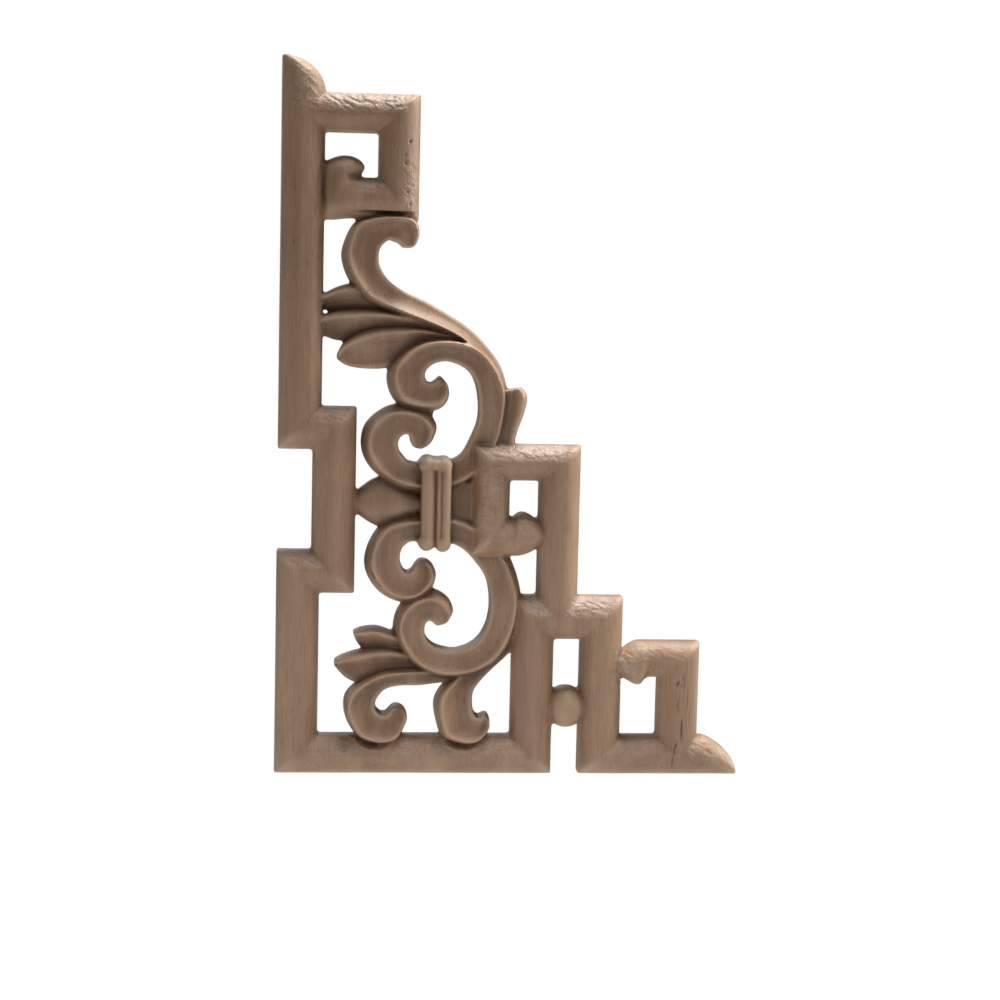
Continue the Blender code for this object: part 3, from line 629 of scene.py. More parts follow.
@dataclass
class Clasp:
    """The upright reeds that bind the scrolls, with lobed ends.

    A reed is its middle x, low end, high end, half width and crown; a lobe is its middle x and z,
    half width, half height and crown. The bed is its left, low, right and high edges and its top.
    """

    reeds: tuple = (
        (46.25, 71.4, 99.4, 2.25, 11.2), (49.55, 71.8, 99.0, 0.95, 10.8), (51.65, 71.2, 99.2, 1.7, 11.1),
    )
    lobes: tuple = (
        (46.0, 97.2, 2.85, 2.9, 11.4), (51.0, 97.1, 2.6, 2.8, 11.3),
        (46.0, 73.6, 2.75, 2.9, 11.4), (51.0, 73.3, 2.6, 2.9, 11.3), (48.4, 97.3, 4.5, 2.3, 11.3),
    )
    bed: tuple = (44.2, 72.2, 53.2, 98.8, 9.4)
    side: tuple = ((52.5, 81.5), (60.6, 80.0), (60.6, 92.6), (52.5, 89.0))
    side_height: float = 5.8
    reed_wall: float = 0.8
    reed_steps: int = 24
    reed_arc_steps: int = 16
    reed_end: float = 0.3
    reed_rounding: float = 1.6
    lobe_wall: float = 0.74
    lobe_turn: float = 0.1571
    lobe_rows: int = 9
    lobe_points: int = 36

    def reed(self, name: str, sizes: tuple[float, ...]) -> bpy.types.Object:
        """Return one straight reed with rounded ends.

        Args:
            name: the reed's name.
            sizes: its middle, low end, high end, half width and crown.

        Returns:
            The reed.
        """
        x, low, high, half, crown = sizes
        rings = []
        middle, reach = (low + high) / 2.0, (high - low) / 2.0
        for k in range(self.reed_steps + 1):
            turn = math.pi * (k + self.reed_end) / (self.reed_steps + 2.0 * self.reed_end)
            z = middle - reach * math.cos(turn)
            near = min(1.0, (reach - abs(z - middle)) / (self.reed_rounding * half))
            wide = half * math.sqrt(1.0 - (1.0 - near) ** 2)
            wall = crown * self.reed_wall
            ring = [BOARD.place(x - wide, z, BEHIND)]
            for j in range(self.reed_arc_steps + 1):
                angle = math.pi * j / self.reed_arc_steps
                ring.append(BOARD.place(x - wide * math.cos(angle), z,
                                        wall + (crown - wall) * math.sin(angle) * wide / half))
            ring.append(BOARD.place(x + wide, z, BEHIND))
            rings.append(ring)
        return loft(name, rings)

    def lobe(self, name: str, sizes: tuple[float, ...]) -> bpy.types.Object:
        """Return one rounded lobe at a reed's end.

        Args:
            name: the lobe's name.
            sizes: its middle's x and z, half width, half height and crown.

        Returns:
            The lobe.
        """
        x, z, wide, high, crown = sizes
        levels = [(1.0, BEHIND), (1.0, crown * self.lobe_wall)]
        for k in range(1, self.lobe_rows + 1):
            dome = math.sin(self.lobe_turn * k)
            level = crown * (self.lobe_wall + (1.0 - self.lobe_wall) * dome)
            levels.append((math.cos(self.lobe_turn * k), level))
        return loft(name, [oval(x, z, wide * share, high * share, height, self.lobe_points)
                           for share, height in levels])

    def build(self) -> list[bpy.types.Object]:
        """Return the reeds, the lobes, the bed between them and the low ground at their right.

        Returns:
            Each as a shape of its own.
        """
        shapes = [self.reed("reed_%d" % number, sizes) for number, sizes in enumerate(self.reeds)]
        shapes += [self.lobe("lobe_%d" % number, sizes) for number, sizes in enumerate(self.lobes)]
        left, low, right, high, top = self.bed
        corners = ((left, low), (right, low), (right, high), (left, high))
        for name, outline, height in (("clasp_bed", corners, top),
                                      ("clasp_side", self.side, self.side_height)):
            rings = [[BOARD.place(x, z, level) for x, z in outline] for level in (BEHIND, height)]
            shapes.append(loft(name, rings))
        return shapes


@dataclass
class ToolWork:
    """What the cutter, the grain and handling left on the surface.

    An end is a stretch of bar with torn end grain: its left, right, low and high edges, how torn
    it is, and how far a surface may face down and still be torn. A mark is a pore, split, tear or
    seam: its middle x and z, half length, half width, depth and lean from upright in degrees. The
    margins say how far an end reaches past its left, right, low and high edges, and the fades over
    what distance it grows to its full tearing there. Front facing is how fast wear sets in as a
    surface turns to the front, and what it has side-on. The ripple is stretched by its x, slope
    and z; the finer one is its scale and share; a mark's waver is how far it strays and its scale.
    Sizes and depths are millimetres. The marks at seams are also painted dark as shade.
    """

    front_facing: Pair = (2.0, 0.6)
    ripple_depth: float = 0.3
    ripple_scale: float = 0.42
    ripple_stretch: tuple[float, float, float] = (0.55, 0.45, 1.0)
    ripple_narrow: float = 7.0
    finer_ripple: Pair = (2.3, 0.4)
    fuzz_depth: float = 0.07
    fuzz_scale: float = 1.3
    wander_depth: float = 0.1
    wander_scale: float = 0.11
    wander_stretch: float = 0.3
    margins: tuple[float, float, float, float] = (2.0, 2.5, 1.0, 1.0)
    fades: tuple[float, float, float, float] = (5.0, 5.0, 2.0, 1.2)
    facing_fade: float = 0.34
    mark_reach: float = 1.5
    mark_waver: Pair = (0.9, 0.6)
    least_dark: float = 0.35
    ends: tuple = (
        (13.0, 39.5, 197.4, 209.4, 1.0, 0.06), (23.0, 38.0, 171.7, 184.6, 0.7, 0.1),
        (14.0, 30.0, 184.0, 192.0, 0.35, 0.1), (2.0, 24.0, 101.2, 114.6, 0.55, 0.04),
        (0.0, 22.0, 56.8, 70.2, 0.65, 0.08), (62.0, 90.0, 92.5, 103.8, 0.9, 0.04),
        (62.0, 83.0, 69.0, 83.0, 0.5, 0.2), (75.4, 105.0, 43.0, 56.8, 0.85, 0.08),
        (104.0, 130.0, 30.0, 42.6, 0.42, 0.14), (8.0, 146.0, 0.3, 12.6, 0.58, 0.16),
        (59.8, 71.8, 72.0, 97.0, 0.58, 0.6), (104.0, 113.0, 26.0, 39.0, 0.75, 0.7),
        (35.0, 42.5, 172.0, 190.0, 0.5, 0.6), (3.0, 13.0, 204.0, 217.0, 0.7, 0.4),
        (128.0, 146.0, 0.3, 10.0, 0.55, 0.5),
    )
    # Marks are painted dark as well as cut: pores, splits and tears are the wood's own, while the seams
    # under the top box and around its hook are painted shade.
    marks: tuple = (
        (125.4, 30.2, 1.5, 0.38, 0.6, 4.0), (126.6, 30.0, 5.0, 0.2, 0.3, 9.0),
        (125.7, 24.0, 4.0, 0.24, 0.32, 6.0), (125.5, 22.2, 2.0, 0.32, 0.4, -2.0),
        (128.5, 25.0, 5.0, 0.2, 0.25, 1.0), (127.3, 30.0, 4.0, 0.2, 0.25, 4.0),
        (127.0, 15.6, 5.0, 0.3, 0.55, 2.0), (125.1, 9.6, 3.0, 0.32, 0.6, 11.0),
        (124.5, 5.0, 2.6, 0.24, 0.4, 5.0), (127.6, 36.4, 2.4, 0.22, 0.3, 0.0),
        (129.3, 19.0, 5.0, 0.18, 0.2, 1.0), (127.9, 20.6, 4.0, 0.18, 0.2, 1.0),
        (38.9, 194.8, 0.6, 0.45, 0.7, 0.0), (37.7, 188.4, 0.9, 0.36, 0.5, 0.0),
        (37.5, 190.8, 0.5, 0.26, 0.4, 0.0), (38.5, 179.8, 0.7, 0.34, 0.5, 10.0),
        (39.2, 176.2, 0.6, 0.36, 0.5, 0.0), (39.6, 181.8, 0.6, 0.24, 0.3, 0.0),
        (39.9, 185.8, 0.5, 0.24, 0.3, 0.0), (38.0, 174.8, 0.9, 0.24, 0.3, -10.0),
        (31.8, 173.3, 9.8, 0.55, 2.4, 90.4), (21.9, 183.6, 2.6, 1.3, 0.42, 78.0),
        (12.9, 180.0, 7.0, 0.36, 0.3, 0.0), (26.7, 149.8, 1.0, 0.36, 0.5, 60.0),
        (35.2, 152.4, 0.9, 0.3, 0.4, 62.0), (40.4, 151.2, 0.8, 0.28, 0.3, 64.0),
        (29.6, 63.0, 1.6, 0.36, 0.6, -25.0), (31.4, 60.4, 1.6, 0.28, 0.3, -40.0),
        (70.6, 68.2, 2.0, 0.36, 0.6, -48.0), (73.0, 65.6, 2.6, 0.3, 0.4, -42.0),
        (71.4, 66.2, 2.0, 0.26, 0.3, -46.0), (2.9, 44.0, 2.4, 0.24, 0.16, 2.0),
        (2.6, 36.0, 3.0, 0.22, 0.14, 0.0), (4.2, 40.5, 2.0, 0.22, 0.12, 2.0),
        (3.6, 30.0, 2.6, 0.24, 0.15, -2.0), (2.5, 21.0, 2.4, 0.24, 0.14, 0.0),
        (4.4, 15.5, 2.0, 0.2, 0.12, 3.0), (3.2, 10.6, 2.8, 0.26, 0.2, 3.0),
        (8.0, 11.0, 1.8, 0.24, 0.16, 8.0), (7.4, 17.5, 1.4, 0.2, 0.12, 0.0),
        (59.5, 4.4, 1.1, 0.22, 0.15, 0.0), (61.4, 4.2, 1.3, 0.22, 0.15, 0.0),
        (64.6, 4.4, 1.0, 0.22, 0.12, 0.0), (68.0, 4.3, 1.2, 0.22, 0.15, 0.0),
        (70.6, 4.2, 1.0, 0.22, 0.12, 0.0), (75.8, 4.4, 1.2, 0.22, 0.12, 0.0),
        (44.0, 8.4, 0.6, 0.26, 0.2, 30.0), (84.2, 17.4, 0.9, 0.24, 0.18, 0.0),
        (98.6, 28.6, 1.2, 0.22, 0.12, 0.0),
    )

    def torn(self, x: float, z: float, rising: float) -> float:
        """Return how torn the end grain is at a point of the drawing, from 0 to 1.

        Args:
            x: distance right of the lower left outer corner.
            z: distance above it.
            rising: how far the surface faces up there.

        Returns:
            The share of full tearing.
        """
        before, after, under, over = self.margins
        deepest = 0.0
        for left, right, low, high, share, droop in self.ends:
            if left - before < x < right + after and low - under < z < high + over:
                edges = (x - left + before, right + after - x, z - low + under, high + over - z)
                inside = min(1.0, *(edge / fade for edge, fade in zip(edges, self.fades)))
                # Surfaces facing up are torn most, so their pale colour is partly a painted sheen from the
                # light above.
                faced = min(1.0, max(0.0, (rising + droop) / self.facing_fade))
                deepest = max(deepest, share * inside * faced)
        return deepest

    def depth(self, place: Vector, facing: Vector, torn: float) -> float:
        """Return how deep the surface is worn at a place.

        Args:
            place: the point, in millimetres in the frame.
            facing: the surface's direction there.
            torn: how torn the end grain is there.

        Returns:
            The depth in millimetres, never negative.
        """
        steepness, start = self.front_facing
        front = min(1.0, max(0.0, -facing.y * steepness + start))
        across, slope, upright = self.ripple_stretch
        finer, share = self.finer_ripple
        slanted = Vector((place.x * across, place.y, upright * place.z + slope * place.x))
        slanted *= self.ripple_scale
        ripple = noise.noise(slanted) ** 2 + share * noise.noise(slanted * finer) ** 2
        fuzz = noise.noise(place * self.fuzz_scale)
        drawn = Vector((place.x, place.y, place.z * self.wander_stretch))
        wander = noise.noise(drawn * self.wander_scale)
        wrinkle = max(0.0, 1.0 - self.ripple_narrow * ripple)
        worn = torn * (self.ripple_depth * wrinkle + self.fuzz_depth * (0.5 + 0.5 * fuzz))
        worn += self.wander_depth * (0.5 + 0.5 * wander)
        return max(0.0, worn * front)

    def marked(self, x: float, z: float) -> Pair:
        """Return what the marks do at a point of the drawing.

        Args:
            x: distance right of the lower left outer corner.
            z: distance above it.

        Returns:
            How deep they are there, and how dark from 0 to 1.
        """
        deepest, darkest = 0.0, 0.0
        waver, waver_scale = self.mark_waver
        for middle_x, middle_z, half_length, half_width, depth, lean in self.marks:
            right, up = x - middle_x, z - middle_z
            if abs(right) + abs(up) < self.mark_reach * half_length + self.mark_reach:
                turn = math.radians(lean)
                along = (up * math.cos(turn) + right * math.sin(turn)) / half_length
                over = (right * math.cos(turn) - up * math.sin(turn)) / half_width
                over += waver * noise.noise(Vector((middle_x, middle_z, z * waver_scale)))
                share = max(0.0, 1.0 - over * over) * max(0.0, 1.0 - along * along)
                deepest = max(deepest, depth * share)
                # A mark's darkness: the wood's own for pores and splits, painted shade for seams.
                darkest = max(darkest, share * min(1.0, self.least_dark + depth))
        return deepest, darkest


@dataclass
class Recipe:
    """The steps that a node tree is put together with."""

    tree: bpy.types.NodeTree

    def step(self, kind: str, result: str | int, inputs: dict, **options: str) -> Socket:
        """Return an output of a new node.

        Args:
            kind: the node's type.
            result: which output.
            inputs: what each input is given, a value or another node's output.
            options: the node's own settings, made before its inputs are filled.

        Returns:
            The output.
        """
        node = self.tree.nodes.new(kind)
        for name, option in options.items():
            setattr(node, name, option)
        for name, given in inputs.items():
            if isinstance(given, Socket):
                self.tree.links.new(given, node.inputs[name])
            else:
                node.inputs[name].default_value = given
        return node.outputs[result]

    def place(self) -> Socket:
        """Return where a point is in the piece."""
        return self.step("ShaderNodeTexCoord", "Object", {})

    def noted(self, name: str) -> Socket:
        """Return one of the piece's own notes of its surface."""
        return self.step("ShaderNodeAttribute", "Fac", {}, attribute_name=name)

    def figure(self, stretch: tuple, turn: tuple, scale: float, detail: float, rough: float) -> Socket:
        """Return the strength of a noise pattern that is stretched and turned."""
        drawn = self.step("ShaderNodeMapping", "Vector",
                          {"Vector": self.place(), "Scale": stretch, "Rotation": turn})
        return self.step("ShaderNodeTexNoise", "Fac",
                         {"Vector": drawn, "Scale": scale, "Detail": detail, "Roughness": rough})

    def eased(self, value: Socket, low: float, high: float, most: float = 1.0, least: float = 0.0) -> Socket:
        """Return a value that goes from least to most as the given one goes from low to high."""
        return self.step("ShaderNodeMapRange", "Result", {
            "Value": value, "From Min": low, "From Max": high, "To Min": least, "To Max": most,
        }, interpolation_type="SMOOTHSTEP")

    def blend(self, share: Socket, under: tuple | Socket, over: tuple | Socket) -> Socket:
        """Return a colour laid over another by a share."""
        return self.step("ShaderNodeMix", "Result", {"Factor": share, "A": under, "B": over},
                         data_type="RGBA")

    def times(self, value: Socket, other: float | Socket) -> Socket:
        """Return a value multiplied by another."""
        return self.reckon("MULTIPLY", value, other)

    def reckon(self, operation: str, *terms: float | Socket) -> Socket:
        """Return what an operation makes of its terms."""
        return self.step("ShaderNodeMath", "Value", dict(enumerate(terms)), operation=operation)

    def white_to_camera(self, kind: str, shaded: Socket, surface: Socket) -> None:
        """Show a surface plain white to the camera, and as it is to everything else.

        Args:
            kind: the type of node that glows white.
            shaded: the surface as it is.
            surface: the input of the tree's last node.
        """
        glow = self.step(kind, 0, {"Color": WHITE, "Strength": 1.0})
        seen = self.step("ShaderNodeLightPath", "Is Camera Ray", {})
        picked = self.step("ShaderNodeMixShader", "Shader", {"Fac": seen, 1: shaded, 2: glow})
        self.tree.links.new(picked, surface)


# How a pattern in the wood is turned around each axis, in radians.
STRAIGHT = (0.0, 0.0, 0.0)
LEANING = (0.02, 0.035, 0.0)


@dataclass(frozen=True)
class StainedWood:
    """The brown stain on close-grained wood, with the grain running upright.

    A figure is a pattern in the wood: its name, stretch, turn, scale, detail and roughness. A range
    is the values between which something sets in, and its share at the end of it (then at its
    start, where that isn't nothing). A coat is what it follows, its range, and its colour. The pit
    line is a pattern's value along the pits, and how far from it they reach.
    """

    pale: tuple = (0.366, 0.227, 0.136, 1.0)
    mid: tuple = (0.283, 0.167, 0.098, 1.0)
    deep: tuple = (0.172, 0.094, 0.053, 1.0)
    # Dark of pores, pits and marks, and painted shade in hollows, creases, seams and under higher carving.
    crease: tuple = (0.06, 0.028, 0.017, 1.0)
    # Pale torn end grain, which also paints a sheen where upward-facing flanks catch the light from above.
    end_grain_and_sheen: tuple = (0.47, 0.365, 0.285, 1.0)
    # Painted shade: a darker reddish colour on flanks near the back.
    back_flank_shade: tuple = (0.185, 0.098, 0.06, 1.0)
    # Painted highlight on ridges and rims, partly edge wear.
    rim: tuple = (0.445, 0.312, 0.212, 1.0)
    roughness: float = 0.5
    specular: float = 0.45
    figures: tuple = (
        ("bands", (1.0, 1.0, 0.07), LEANING, 170.0, 3.0, 0.55),
        ("fibres", (1.0, 1.0, 0.06), LEANING, 2600.0, 2.0, 0.6),
        ("blotches", (1.0, 1.0, 0.4), STRAIGHT, 55.0, 2.0, 0.5),
        ("pores", (1.0, 1.0, 0.14), LEANING, 1500.0, 1.0, 0.5),
        ("specks", (1.0, 1.0, 1.0), STRAIGHT, 750.0, 2.0, 0.6),
        ("border", (1.0, 1.0, 1.0), STRAIGHT, 200.0, 3.0, 0.6),
        ("curls", (1.0, 1.0, 1.0), STRAIGHT, 640.0, 0.4, 0.5),
        ("sawn", (0.05, 1.0, 1.0), (0.0, 0.12, 0.0), 700.0, 2.0, 0.6),
    )
    wood_coats: tuple = (
        ("bands", (0.34, 0.66, 1.0), "mid"),
        ("blotches", (0.46, 0.76, 0.45), "deep"),
        ("fibres", (0.4, 0.7, 0.4), "deep"),
    )
    # Painted light and shade and marks: a painted highlight on ridges, partly edge wear; painted shade under
    # higher carving, in hollows and on flanks near the back; and the dark of marks, painted shade at seams.
    light_shade_and_mark_coats: tuple = (
        ("hollow", (0.51, 0.7, 0.6), "rim"),
        ("shelter_shade", (0.08, 0.46, 0.55), "crease"),
        ("hollow", (0.48, 0.28, 0.62), "crease"),
        ("mark", (0.1, 0.9, 0.66), "crease"),
        ("forward", (-0.0056, -0.0005, 0.65), "back_flank_shade"),
    )
    pore_range: tuple = (0.66, 0.72, 0.4)
    patch_range: tuple = (0.47, 0.57)
    end_raggedness: float = 0.8
    end_range: tuple = (0.72, 1.5)
    end_share: float = 0.8
    speck_range: tuple = (0.48, 0.74, 0.45)
    pit_line: tuple = (0.5, 0.026)
    pit_range: tuple = (0.14, 0.8)
    pit_share: float = 0.3
    back_range: tuple = (-0.0003, -0.00005)
    saw_range: tuple = (0.4, 0.7, 0.3)
    rough_range: tuple = (0.05, 0.95, 0.85, 0.06)
    fibre_relief: float = 0.25
    pit_relief: float = 0.5
    saw_relief: float = 0.6
    bump_strength: float = 0.6
    bump_depth: float = 0.0007

    def material(self) -> bpy.types.Material:
        """Return this finish on a material.

        Returns:
            The node material.
        """
        material = bpy.data.materials.new(SLOT)
        material.use_nodes = True
        mix = Recipe(material.node_tree)
        parts = {name: mix.figure(*sizes) for name, *sizes in self.figures}
        parts |= {name: mix.noted(name) for name in ("torn", "hollow", "shelter_shade", "mark")}
        parts["forward"] = mix.step("ShaderNodeSeparateXYZ", "Y", {"Vector": mix.place()})

        base = self.pale
        for follows, span, colour in self.wood_coats:
            base = mix.blend(mix.eased(parts[follows], *span), base, getattr(self, colour))
        worn_patch = mix.eased(parts["blotches"], *self.patch_range)
        worn_pores = mix.times(mix.eased(parts["pores"], *self.pore_range), worn_patch)
        base = mix.blend(worn_pores, base, self.crease)

        # Torn end grain is paler; on upward-facing flanks this pale colour also paints a sheen from the
        # light above.
        ragged = mix.times(parts["border"], self.end_raggedness)
        ragged = mix.reckon("ADD", parts["torn"], ragged)
        cut_end = mix.times(mix.eased(ragged, *self.end_range), self.end_share)
        pale_end_and_sheen = mix.blend(mix.eased(parts["specks"], *self.speck_range), self.end_grain_and_sheen, self.mid)
        base = mix.blend(cut_end, base, pale_end_and_sheen)
        pits = mix.reckon("COMPARE", parts["curls"], *self.pit_line)
        pits = mix.times(pits, mix.eased(parts["torn"], *self.pit_range))
        base = mix.blend(mix.times(pits, self.pit_share), base, self.crease)

        # Lay on the painted highlight, the painted shade and the dark of the marks.
        for follows, span, colour in self.light_shade_and_mark_coats:
            base = mix.blend(mix.eased(parts[follows], *span), base, getattr(self, colour))
        behind = mix.eased(parts["forward"], *self.back_range)
        saw_marks = mix.times(behind, mix.eased(parts["sawn"], *self.saw_range))
        base = mix.blend(saw_marks, base, self.pale)

        relief = mix.times(parts["specks"], mix.eased(parts["torn"], *self.rough_range))
        saw_relief = mix.times(parts["sawn"], self.saw_relief)
        for operation, part in (
            ("ADD", mix.times(parts["fibres"], self.fibre_relief)),
            ("SUBTRACT", mix.times(pits, self.pit_relief)),
            ("ADD", mix.times(behind, saw_relief)),
        ):
            relief = mix.reckon(operation, relief, part)
        bump = mix.step("ShaderNodeBump", "Normal", {
            "Height": relief, "Strength": self.bump_strength, "Distance": self.bump_depth})

        shader = material.node_tree.nodes["Principled BSDF"]
        shader.inputs["Roughness"].default_value = self.roughness
        shader.inputs["Specular IOR Level"].default_value = self.specular
        material.node_tree.links.new(base, shader.inputs["Base Color"])
        material.node_tree.links.new(bump, shader.inputs["Normal"])
        return material


@dataclass
class Applique:
    """The whole piece: fret, scrollwork and clasp carved from one board.

    Lengths are millimetres, the margin is cells, and soften and spread are rounds of averaging.
    """

    fret: Fret = field(default_factory=Fret)
    scrollwork: Scrollwork = field(default_factory=Scrollwork)
    clasp: Clasp = field(default_factory=Clasp)
    tool_work: ToolWork = field(default_factory=ToolWork)
    finish: StainedWood = field(default_factory=StainedWood)
    voxel: float = 0.42
    soften: int = 3
    spread: int = 26
    hollow_range: float = 0.5
    cell: float = 0.5
    margin: int = 20
    # The skyline reaches, directions, weight from above and own slope set the painted shade under higher
    # carving.
    skyline: tuple = (1.0, 1.8, 2.8, 4.2, 6.0)
    directions: int = 16
    from_above: float = 0.4
    own_slope: float = 0.46
    back_near: float = 0.05
    fret_near: float = 0.6
    fret_shelter: float = 0.45
    marked_facing: float = 0.2
    crisp_angle: float = 40.0
    most_faces: int = 190000

    def planed(self, body: bpy.types.Object) -> None:
        """Press a shape flat at the back, where its walls stand straight.

        Args:
            body: the shape.
        """
        shape = bmesh.new()
        shape.from_mesh(body.data)
        behind = [vert for vert in shape.verts if vert.co.y > 0.0]
        bmesh.ops.scale(shape, verts=behind, vec=(1.0, 0.0, 1.0))
        shape.to_mesh(body.data)
        shape.free()

    def joined(self, shapes: list[bpy.types.Object]) -> bpy.types.Object:
        """Return all the shapes in one mesh, melted into one skin.

        Args:
            shapes: the shapes, which are used up.

        Returns:
            The melted piece.
        """
        whole = bmesh.new()
        for body in shapes:
            self.planed(body)
            whole.from_mesh(body.data)
            bpy.data.objects.remove(body, do_unlink=True)
        piece = in_scene("carving", whole)
        melt = piece.modifiers.new("melt", "REMESH")
        melt.mode = "VOXEL"
        melt.voxel_size = self.voxel * MM
        melt.adaptivity = 0.0
        apply_modifiers(piece)
        return piece

    def averaged(self, places: np.ndarray, ends: np.ndarray, rounds: int) -> np.ndarray:
        """Return points moved towards their neighbours' middle.

        Args:
            places: the points.
            ends: the two points of each edge between them.
            rounds: how many times they are moved.

        Returns:
            The moved points.
        """
        count = len(places)
        links = np.bincount(ends.ravel(), minlength=count).astype(float)
        for _ in range(rounds):
            total = np.stack([
                np.bincount(ends[:, 0], weights=places[ends[:, 1], axis], minlength=count)
                + np.bincount(ends[:, 1], weights=places[ends[:, 0], axis], minlength=count)
                for axis in range(3)], axis=1)
            places = 0.5 * places + 0.5 * total / links[:, None]
        return places

    def sheltered(self, places: np.ndarray, facing: np.ndarray) -> np.ndarray:
        """Return how far the carving around each point stands over it, from 0 to 1, for painted shade.

        Args:
            places: the skin's points in metres.
            facing: the skin's directions there.

        Returns:
            The mean sine of the skyline's rise over each point, less what its own slope makes up.
        """
        heights = -places[:, 1] / MM
        columns = ((places[:, 0] / MM + BOARD.origin_x) / self.cell + self.margin).astype(int)
        rows = ((places[:, 2] / MM + BOARD.origin_z) / self.cell + self.margin).astype(int)
        relief = np.zeros((columns.max() + self.margin, rows.max() + self.margin))
        np.maximum.at(relief, (columns, rows), heights)
        total, weights = np.zeros(len(heights)), 0.0
        for k in range(self.directions):
            angle = 2.0 * math.pi * k / self.directions
            rise = np.zeros(len(heights))
            for reach in self.skyline:
                over = columns + round(reach * math.cos(angle) / self.cell)
                up = rows + round(reach * math.sin(angle) / self.cell)
                rise = np.maximum(rise, (relief[over, up] - heights) / reach)
            # Carving above a point counts more, as this painted shade stands in for light falling from
            # above.
            weight = 1.0 + self.from_above * math.sin(angle)
            total += weight * rise / np.sqrt(1.0 + rise * rise)
            weights += weight
        return np.maximum(0.0, total / weights - self.own_slope * (1.0 - np.abs(facing[:, 1])))

    def worked(self, piece: bpy.types.Object, fret_skin: BVHTree) -> None:
        """Soften the skin, note what its surface is like, and put the tool work on it.

        Args:
            piece: the melted piece.
            fret_skin: the fret's own surface, where end grain can be torn.
        """
        mesh = piece.data
        count = len(mesh.vertices)
        flat = np.empty(count * 3)
        mesh.vertices.foreach_get("co", flat)
        places = flat.reshape(count, 3)
        edge_ends = np.empty(len(mesh.edges) * 2, dtype=np.int64)
        mesh.edges.foreach_get("vertices", edge_ends)
        ends = edge_ends.reshape(-1, 2)
        behind = places[:, 1] > -self.back_near * MM
        softened = self.averaged(places, ends, self.soften)
        softened[behind, 1] = 0.0
        mesh.vertices.foreach_set("co", softened.ravel())
        mesh.update()
        facing = np.empty(count * 3)
        mesh.vertices.foreach_get("normal", facing)
        facing = facing.reshape(count, 3)
        # Ridges stand out of the averaged form and hollows sink into it; the colour paints a highlight on
        # ridges, partly edge wear, and shade in hollows.
        round_form = self.averaged(softened, ends, self.spread)
        ridge = ((softened - round_form) * facing).sum(axis=1) / MM
        hollow = np.clip(0.5 + ridge / (2.0 * self.hollow_range), 0.0, 1.0)
        hollow[behind] = 0.5
        # Painted shade: how far higher carving stands over each point darkens the colour there.
        shelter_shade = np.where(behind, 0.0, self.sheltered(softened, facing))
        depths, torn, marks = np.zeros(count), np.zeros(count), np.zeros(count)
        for k in np.flatnonzero(~behind):
            place, normal = Vector(softened[k] / MM), Vector(facing[k])
            x, z = place.x + BOARD.origin_x, place.z + BOARD.origin_z
            if fret_skin.find_nearest(Vector(softened[k]), self.fret_near * MM)[0] is not None:
                torn[k] = self.tool_work.torn(x, z, normal.z)
                # On the fret the painted shade from shelter and from hollows is weaker; ridges keep their
                # painted highlight.
                shelter_shade[k] *= self.fret_shelter
                hollow[k] = max(hollow[k], 0.5 + self.fret_shelter * (hollow[k] - 0.5))
            depths[k] = self.tool_work.depth(place, normal, torn[k])
            if normal.y < -self.marked_facing:
                deep, marks[k] = self.tool_work.marked(x, z)
                depths[k] += deep
        for name, values in (("hollow", hollow), ("torn", torn), ("shelter_shade", shelter_shade), ("mark", marks)):
            note = mesh.attributes.new(name, "FLOAT", "POINT")
            note.data.foreach_set("value", values.astype(np.float32))
        worn = softened - facing * depths[:, None] * MM
        worn = np.clip(worn, *np.array(CAD_BOX))
        worn[behind, 1] = 0.0
        mesh.vertices.foreach_set("co", worn.ravel())
        mesh.update()

    def thinned(self, piece: bpy.types.Object) -> None:
        """Bring the skin down to its most faces, where it is flattest first.

        Args:
            piece: the piece, with its tool work on it.
        """
        faces = sum(len(polygon.vertices) - 2 for polygon in piece.data.polygons)
        if faces > self.most_faces:
            thin = piece.modifiers.new("thin", "DECIMATE")
            thin.decimate_type = "COLLAPSE"
            thin.ratio = self.most_faces / faces
            apply_modifiers(piece)

    def build(self) -> bpy.types.Object:
        """Build, finish and report the piece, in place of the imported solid.

        Returns:
            The piece.
        """
        fret = self.fret.build()
        bpy.context.view_layer.update()
        fret_skin = BVHTree.FromObject(fret, bpy.context.evaluated_depsgraph_get())
        piece = self.joined([fret] + self.scrollwork.build() + self.clasp.build())
        log.info("melted: %d faces", len(piece.data.polygons))
        self.worked(piece, fret_skin)
        self.thinned(piece)
        piece.data.shade_smooth()
        piece.data.set_sharp_from_angle(angle=math.radians(self.crisp_angle))
        piece.data.materials.clear()
        piece.data.materials.append(self.finish.material())
        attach(piece, "root")
        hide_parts(NODE)
        log.info("%s: %d faces", piece.name, len(piece.data.polygons))
        return piece


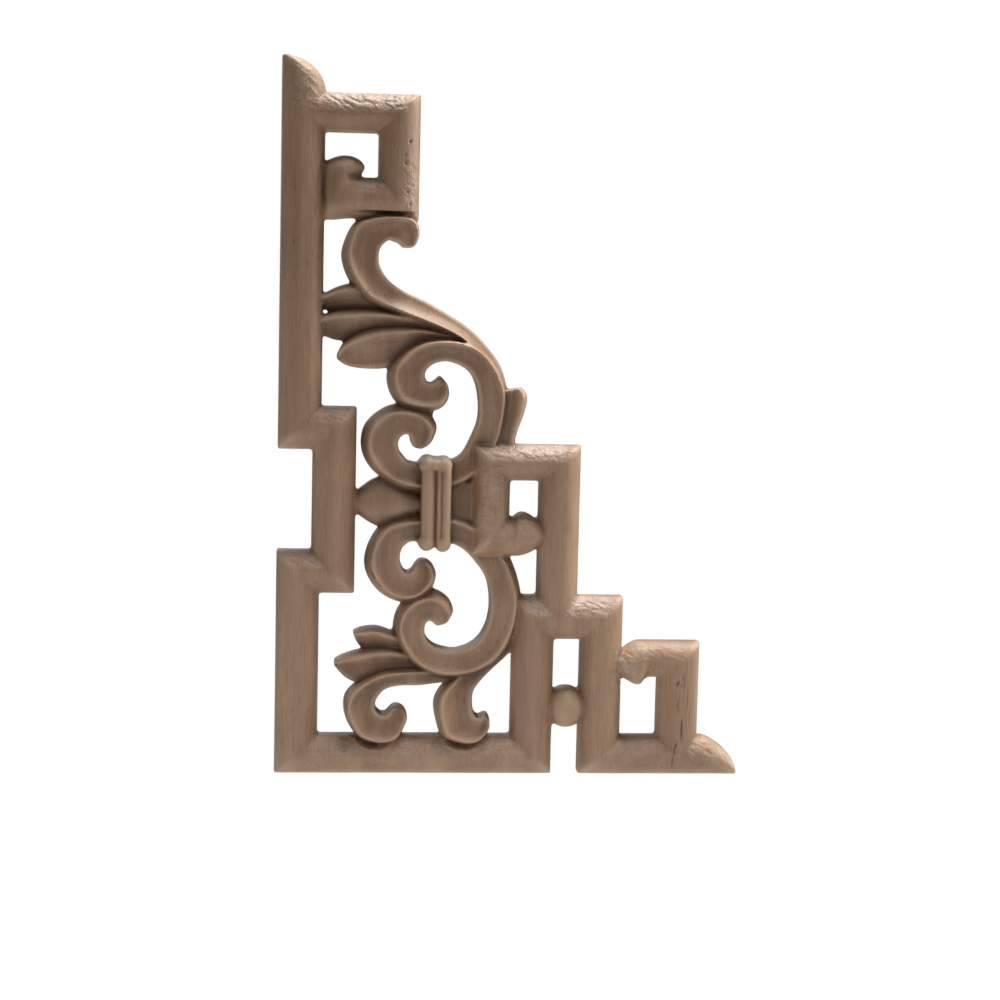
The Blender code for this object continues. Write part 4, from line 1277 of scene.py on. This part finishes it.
@dataclass
class Studio:
    """The pale floor, the soft lights and the camera.

    The spot is its place, its aim, its whole angle in degrees and its power in watts.
    """

    floor_drop: float = 0.13
    floor_size: float = 8.0
    floor_paint: tuple = (("Base Color", (0.55, 0.55, 0.54, 1.0)), ("Roughness", 0.9),
                          ("Specular IOR Level", 0.1))
    camera_place: tuple = (0.00855, -0.6182, 0.141)
    camera_right: tuple = (0.99615, -0.08461, 0.02282)
    camera_up: tuple = (-0.01425, 0.10055, 0.99483)
    lens: float = 72.0
    sensor: float = 36.0
    nearest: float = 0.01
    aim: tuple = (0.06, 0.0, 0.09)
    lights: tuple = (
        ("key", (0.28, 0.035, 1.15), 0.4, 21.5),
        ("right", (1.1, 0.04, 0.42), 0.4, 9.0),
        ("left", (-0.75, -0.16, -0.2), 0.5, 3.4),
        ("low", (0.03, -0.3, -0.12), 0.3, 0.44),
        ("rear", (-0.2, 0.8, 0.5), 0.9, 3.0),
    )
    spot: tuple = ((0.16, -0.7, 0.42), (0.075, 0.0, -0.055), 32.0, 4.7)
    spot_radius: float = 0.1
    sky: float = 0.07

    def floor(self) -> None:
        """Lay the plain pale floor."""
        shape = bmesh.new()
        bmesh.ops.create_grid(shape, x_segments=1, y_segments=1, size=self.floor_size / 2.0)
        bmesh.ops.translate(shape, verts=shape.verts, vec=(0.0, 0.0, -self.floor_drop))
        floor = in_scene("floor", shape)
        paint = bpy.data.materials.new("pale_floor")
        paint.use_nodes = True
        nodes = paint.node_tree.nodes
        shader = nodes["Principled BSDF"]
        for name, value in self.floor_paint:
            shader.inputs[name].default_value = value
        Recipe(paint.node_tree).white_to_camera(
            "ShaderNodeEmission", shader.outputs["BSDF"], nodes["Material Output"].inputs["Surface"])
        floor.data.materials.append(paint)

    def background(self) -> None:
        """Light the surroundings evenly and show them white."""
        world = bpy.data.worlds.new("surroundings")
        world.use_nodes = True
        nodes = world.node_tree.nodes
        soft = nodes["Background"]
        soft.inputs["Color"].default_value = WHITE
        soft.inputs["Strength"].default_value = self.sky
        Recipe(world.node_tree).white_to_camera(
            "ShaderNodeBackground", soft.outputs["Background"], nodes["World Output"].inputs["Surface"])
        bpy.context.scene.world = world

    def hang(self, lamp: bpy.types.Light, place: tuple, aim: tuple, power: float) -> None:
        """Hang a lamp.

        Args:
            lamp: the lamp.
            place: where it hangs.
            aim: the point that it faces.
            power: its power in watts.
        """
        lamp.energy = power
        body = in_scene(lamp.name, lamp)
        body.location = place
        body.rotation_mode = "QUATERNION"
        body.rotation_quaternion = (Vector(aim) - Vector(place)).to_track_quat("-Z", "Y")

    def light(self, settings: tuple) -> None:
        """Hang one soft square light that faces the piece.

        Args:
            settings: its name, place, side in metres and power in watts.
        """
        name, place, size, power = settings
        lamp = bpy.data.lights.new(name, "AREA")
        lamp.shape = "SQUARE"
        lamp.size = size
        self.hang(lamp, place, self.aim, power)

    def front_light(self) -> None:
        """Hang the soft spot that brightens the lower half of the piece."""
        place, aim, cone, power = self.spot
        lamp = bpy.data.lights.new("front", "SPOT")
        lamp.spot_size = math.radians(cone)
        lamp.spot_blend = 1.0
        lamp.shadow_soft_size = self.spot_radius
        self.hang(lamp, place, aim, power)

    def camera(self) -> None:
        """Set the camera where the photograph was taken from."""
        right, up = Vector(self.camera_right), Vector(self.camera_up)
        lens = bpy.data.cameras.new("camera")
        lens.lens = self.lens
        lens.sensor_width = self.sensor
        lens.clip_start = self.nearest
        body = in_scene("camera", lens)
        turn = Matrix((right, up, right.cross(up))).transposed()
        body.matrix_world = Matrix.Translation(self.camera_place) @ turn.to_4x4()
        bpy.context.scene.camera = body

    def build(self) -> None:
        """Set up the floor, the surroundings, the lights and the camera."""
        self.floor()
        self.background()
        for settings in self.lights:
            self.light(settings)
        self.front_light()
        self.camera()
        bpy.context.scene.view_settings.view_transform = "Standard"


def main() -> None:
    """Build the piece and the studio."""
    logging.basicConfig(level=logging.INFO, format="%(name)s: %(message)s")
    Applique().build()
    Studio().build()
    bpy.context.view_layer.update()


if __name__ == "__main__":
    main()
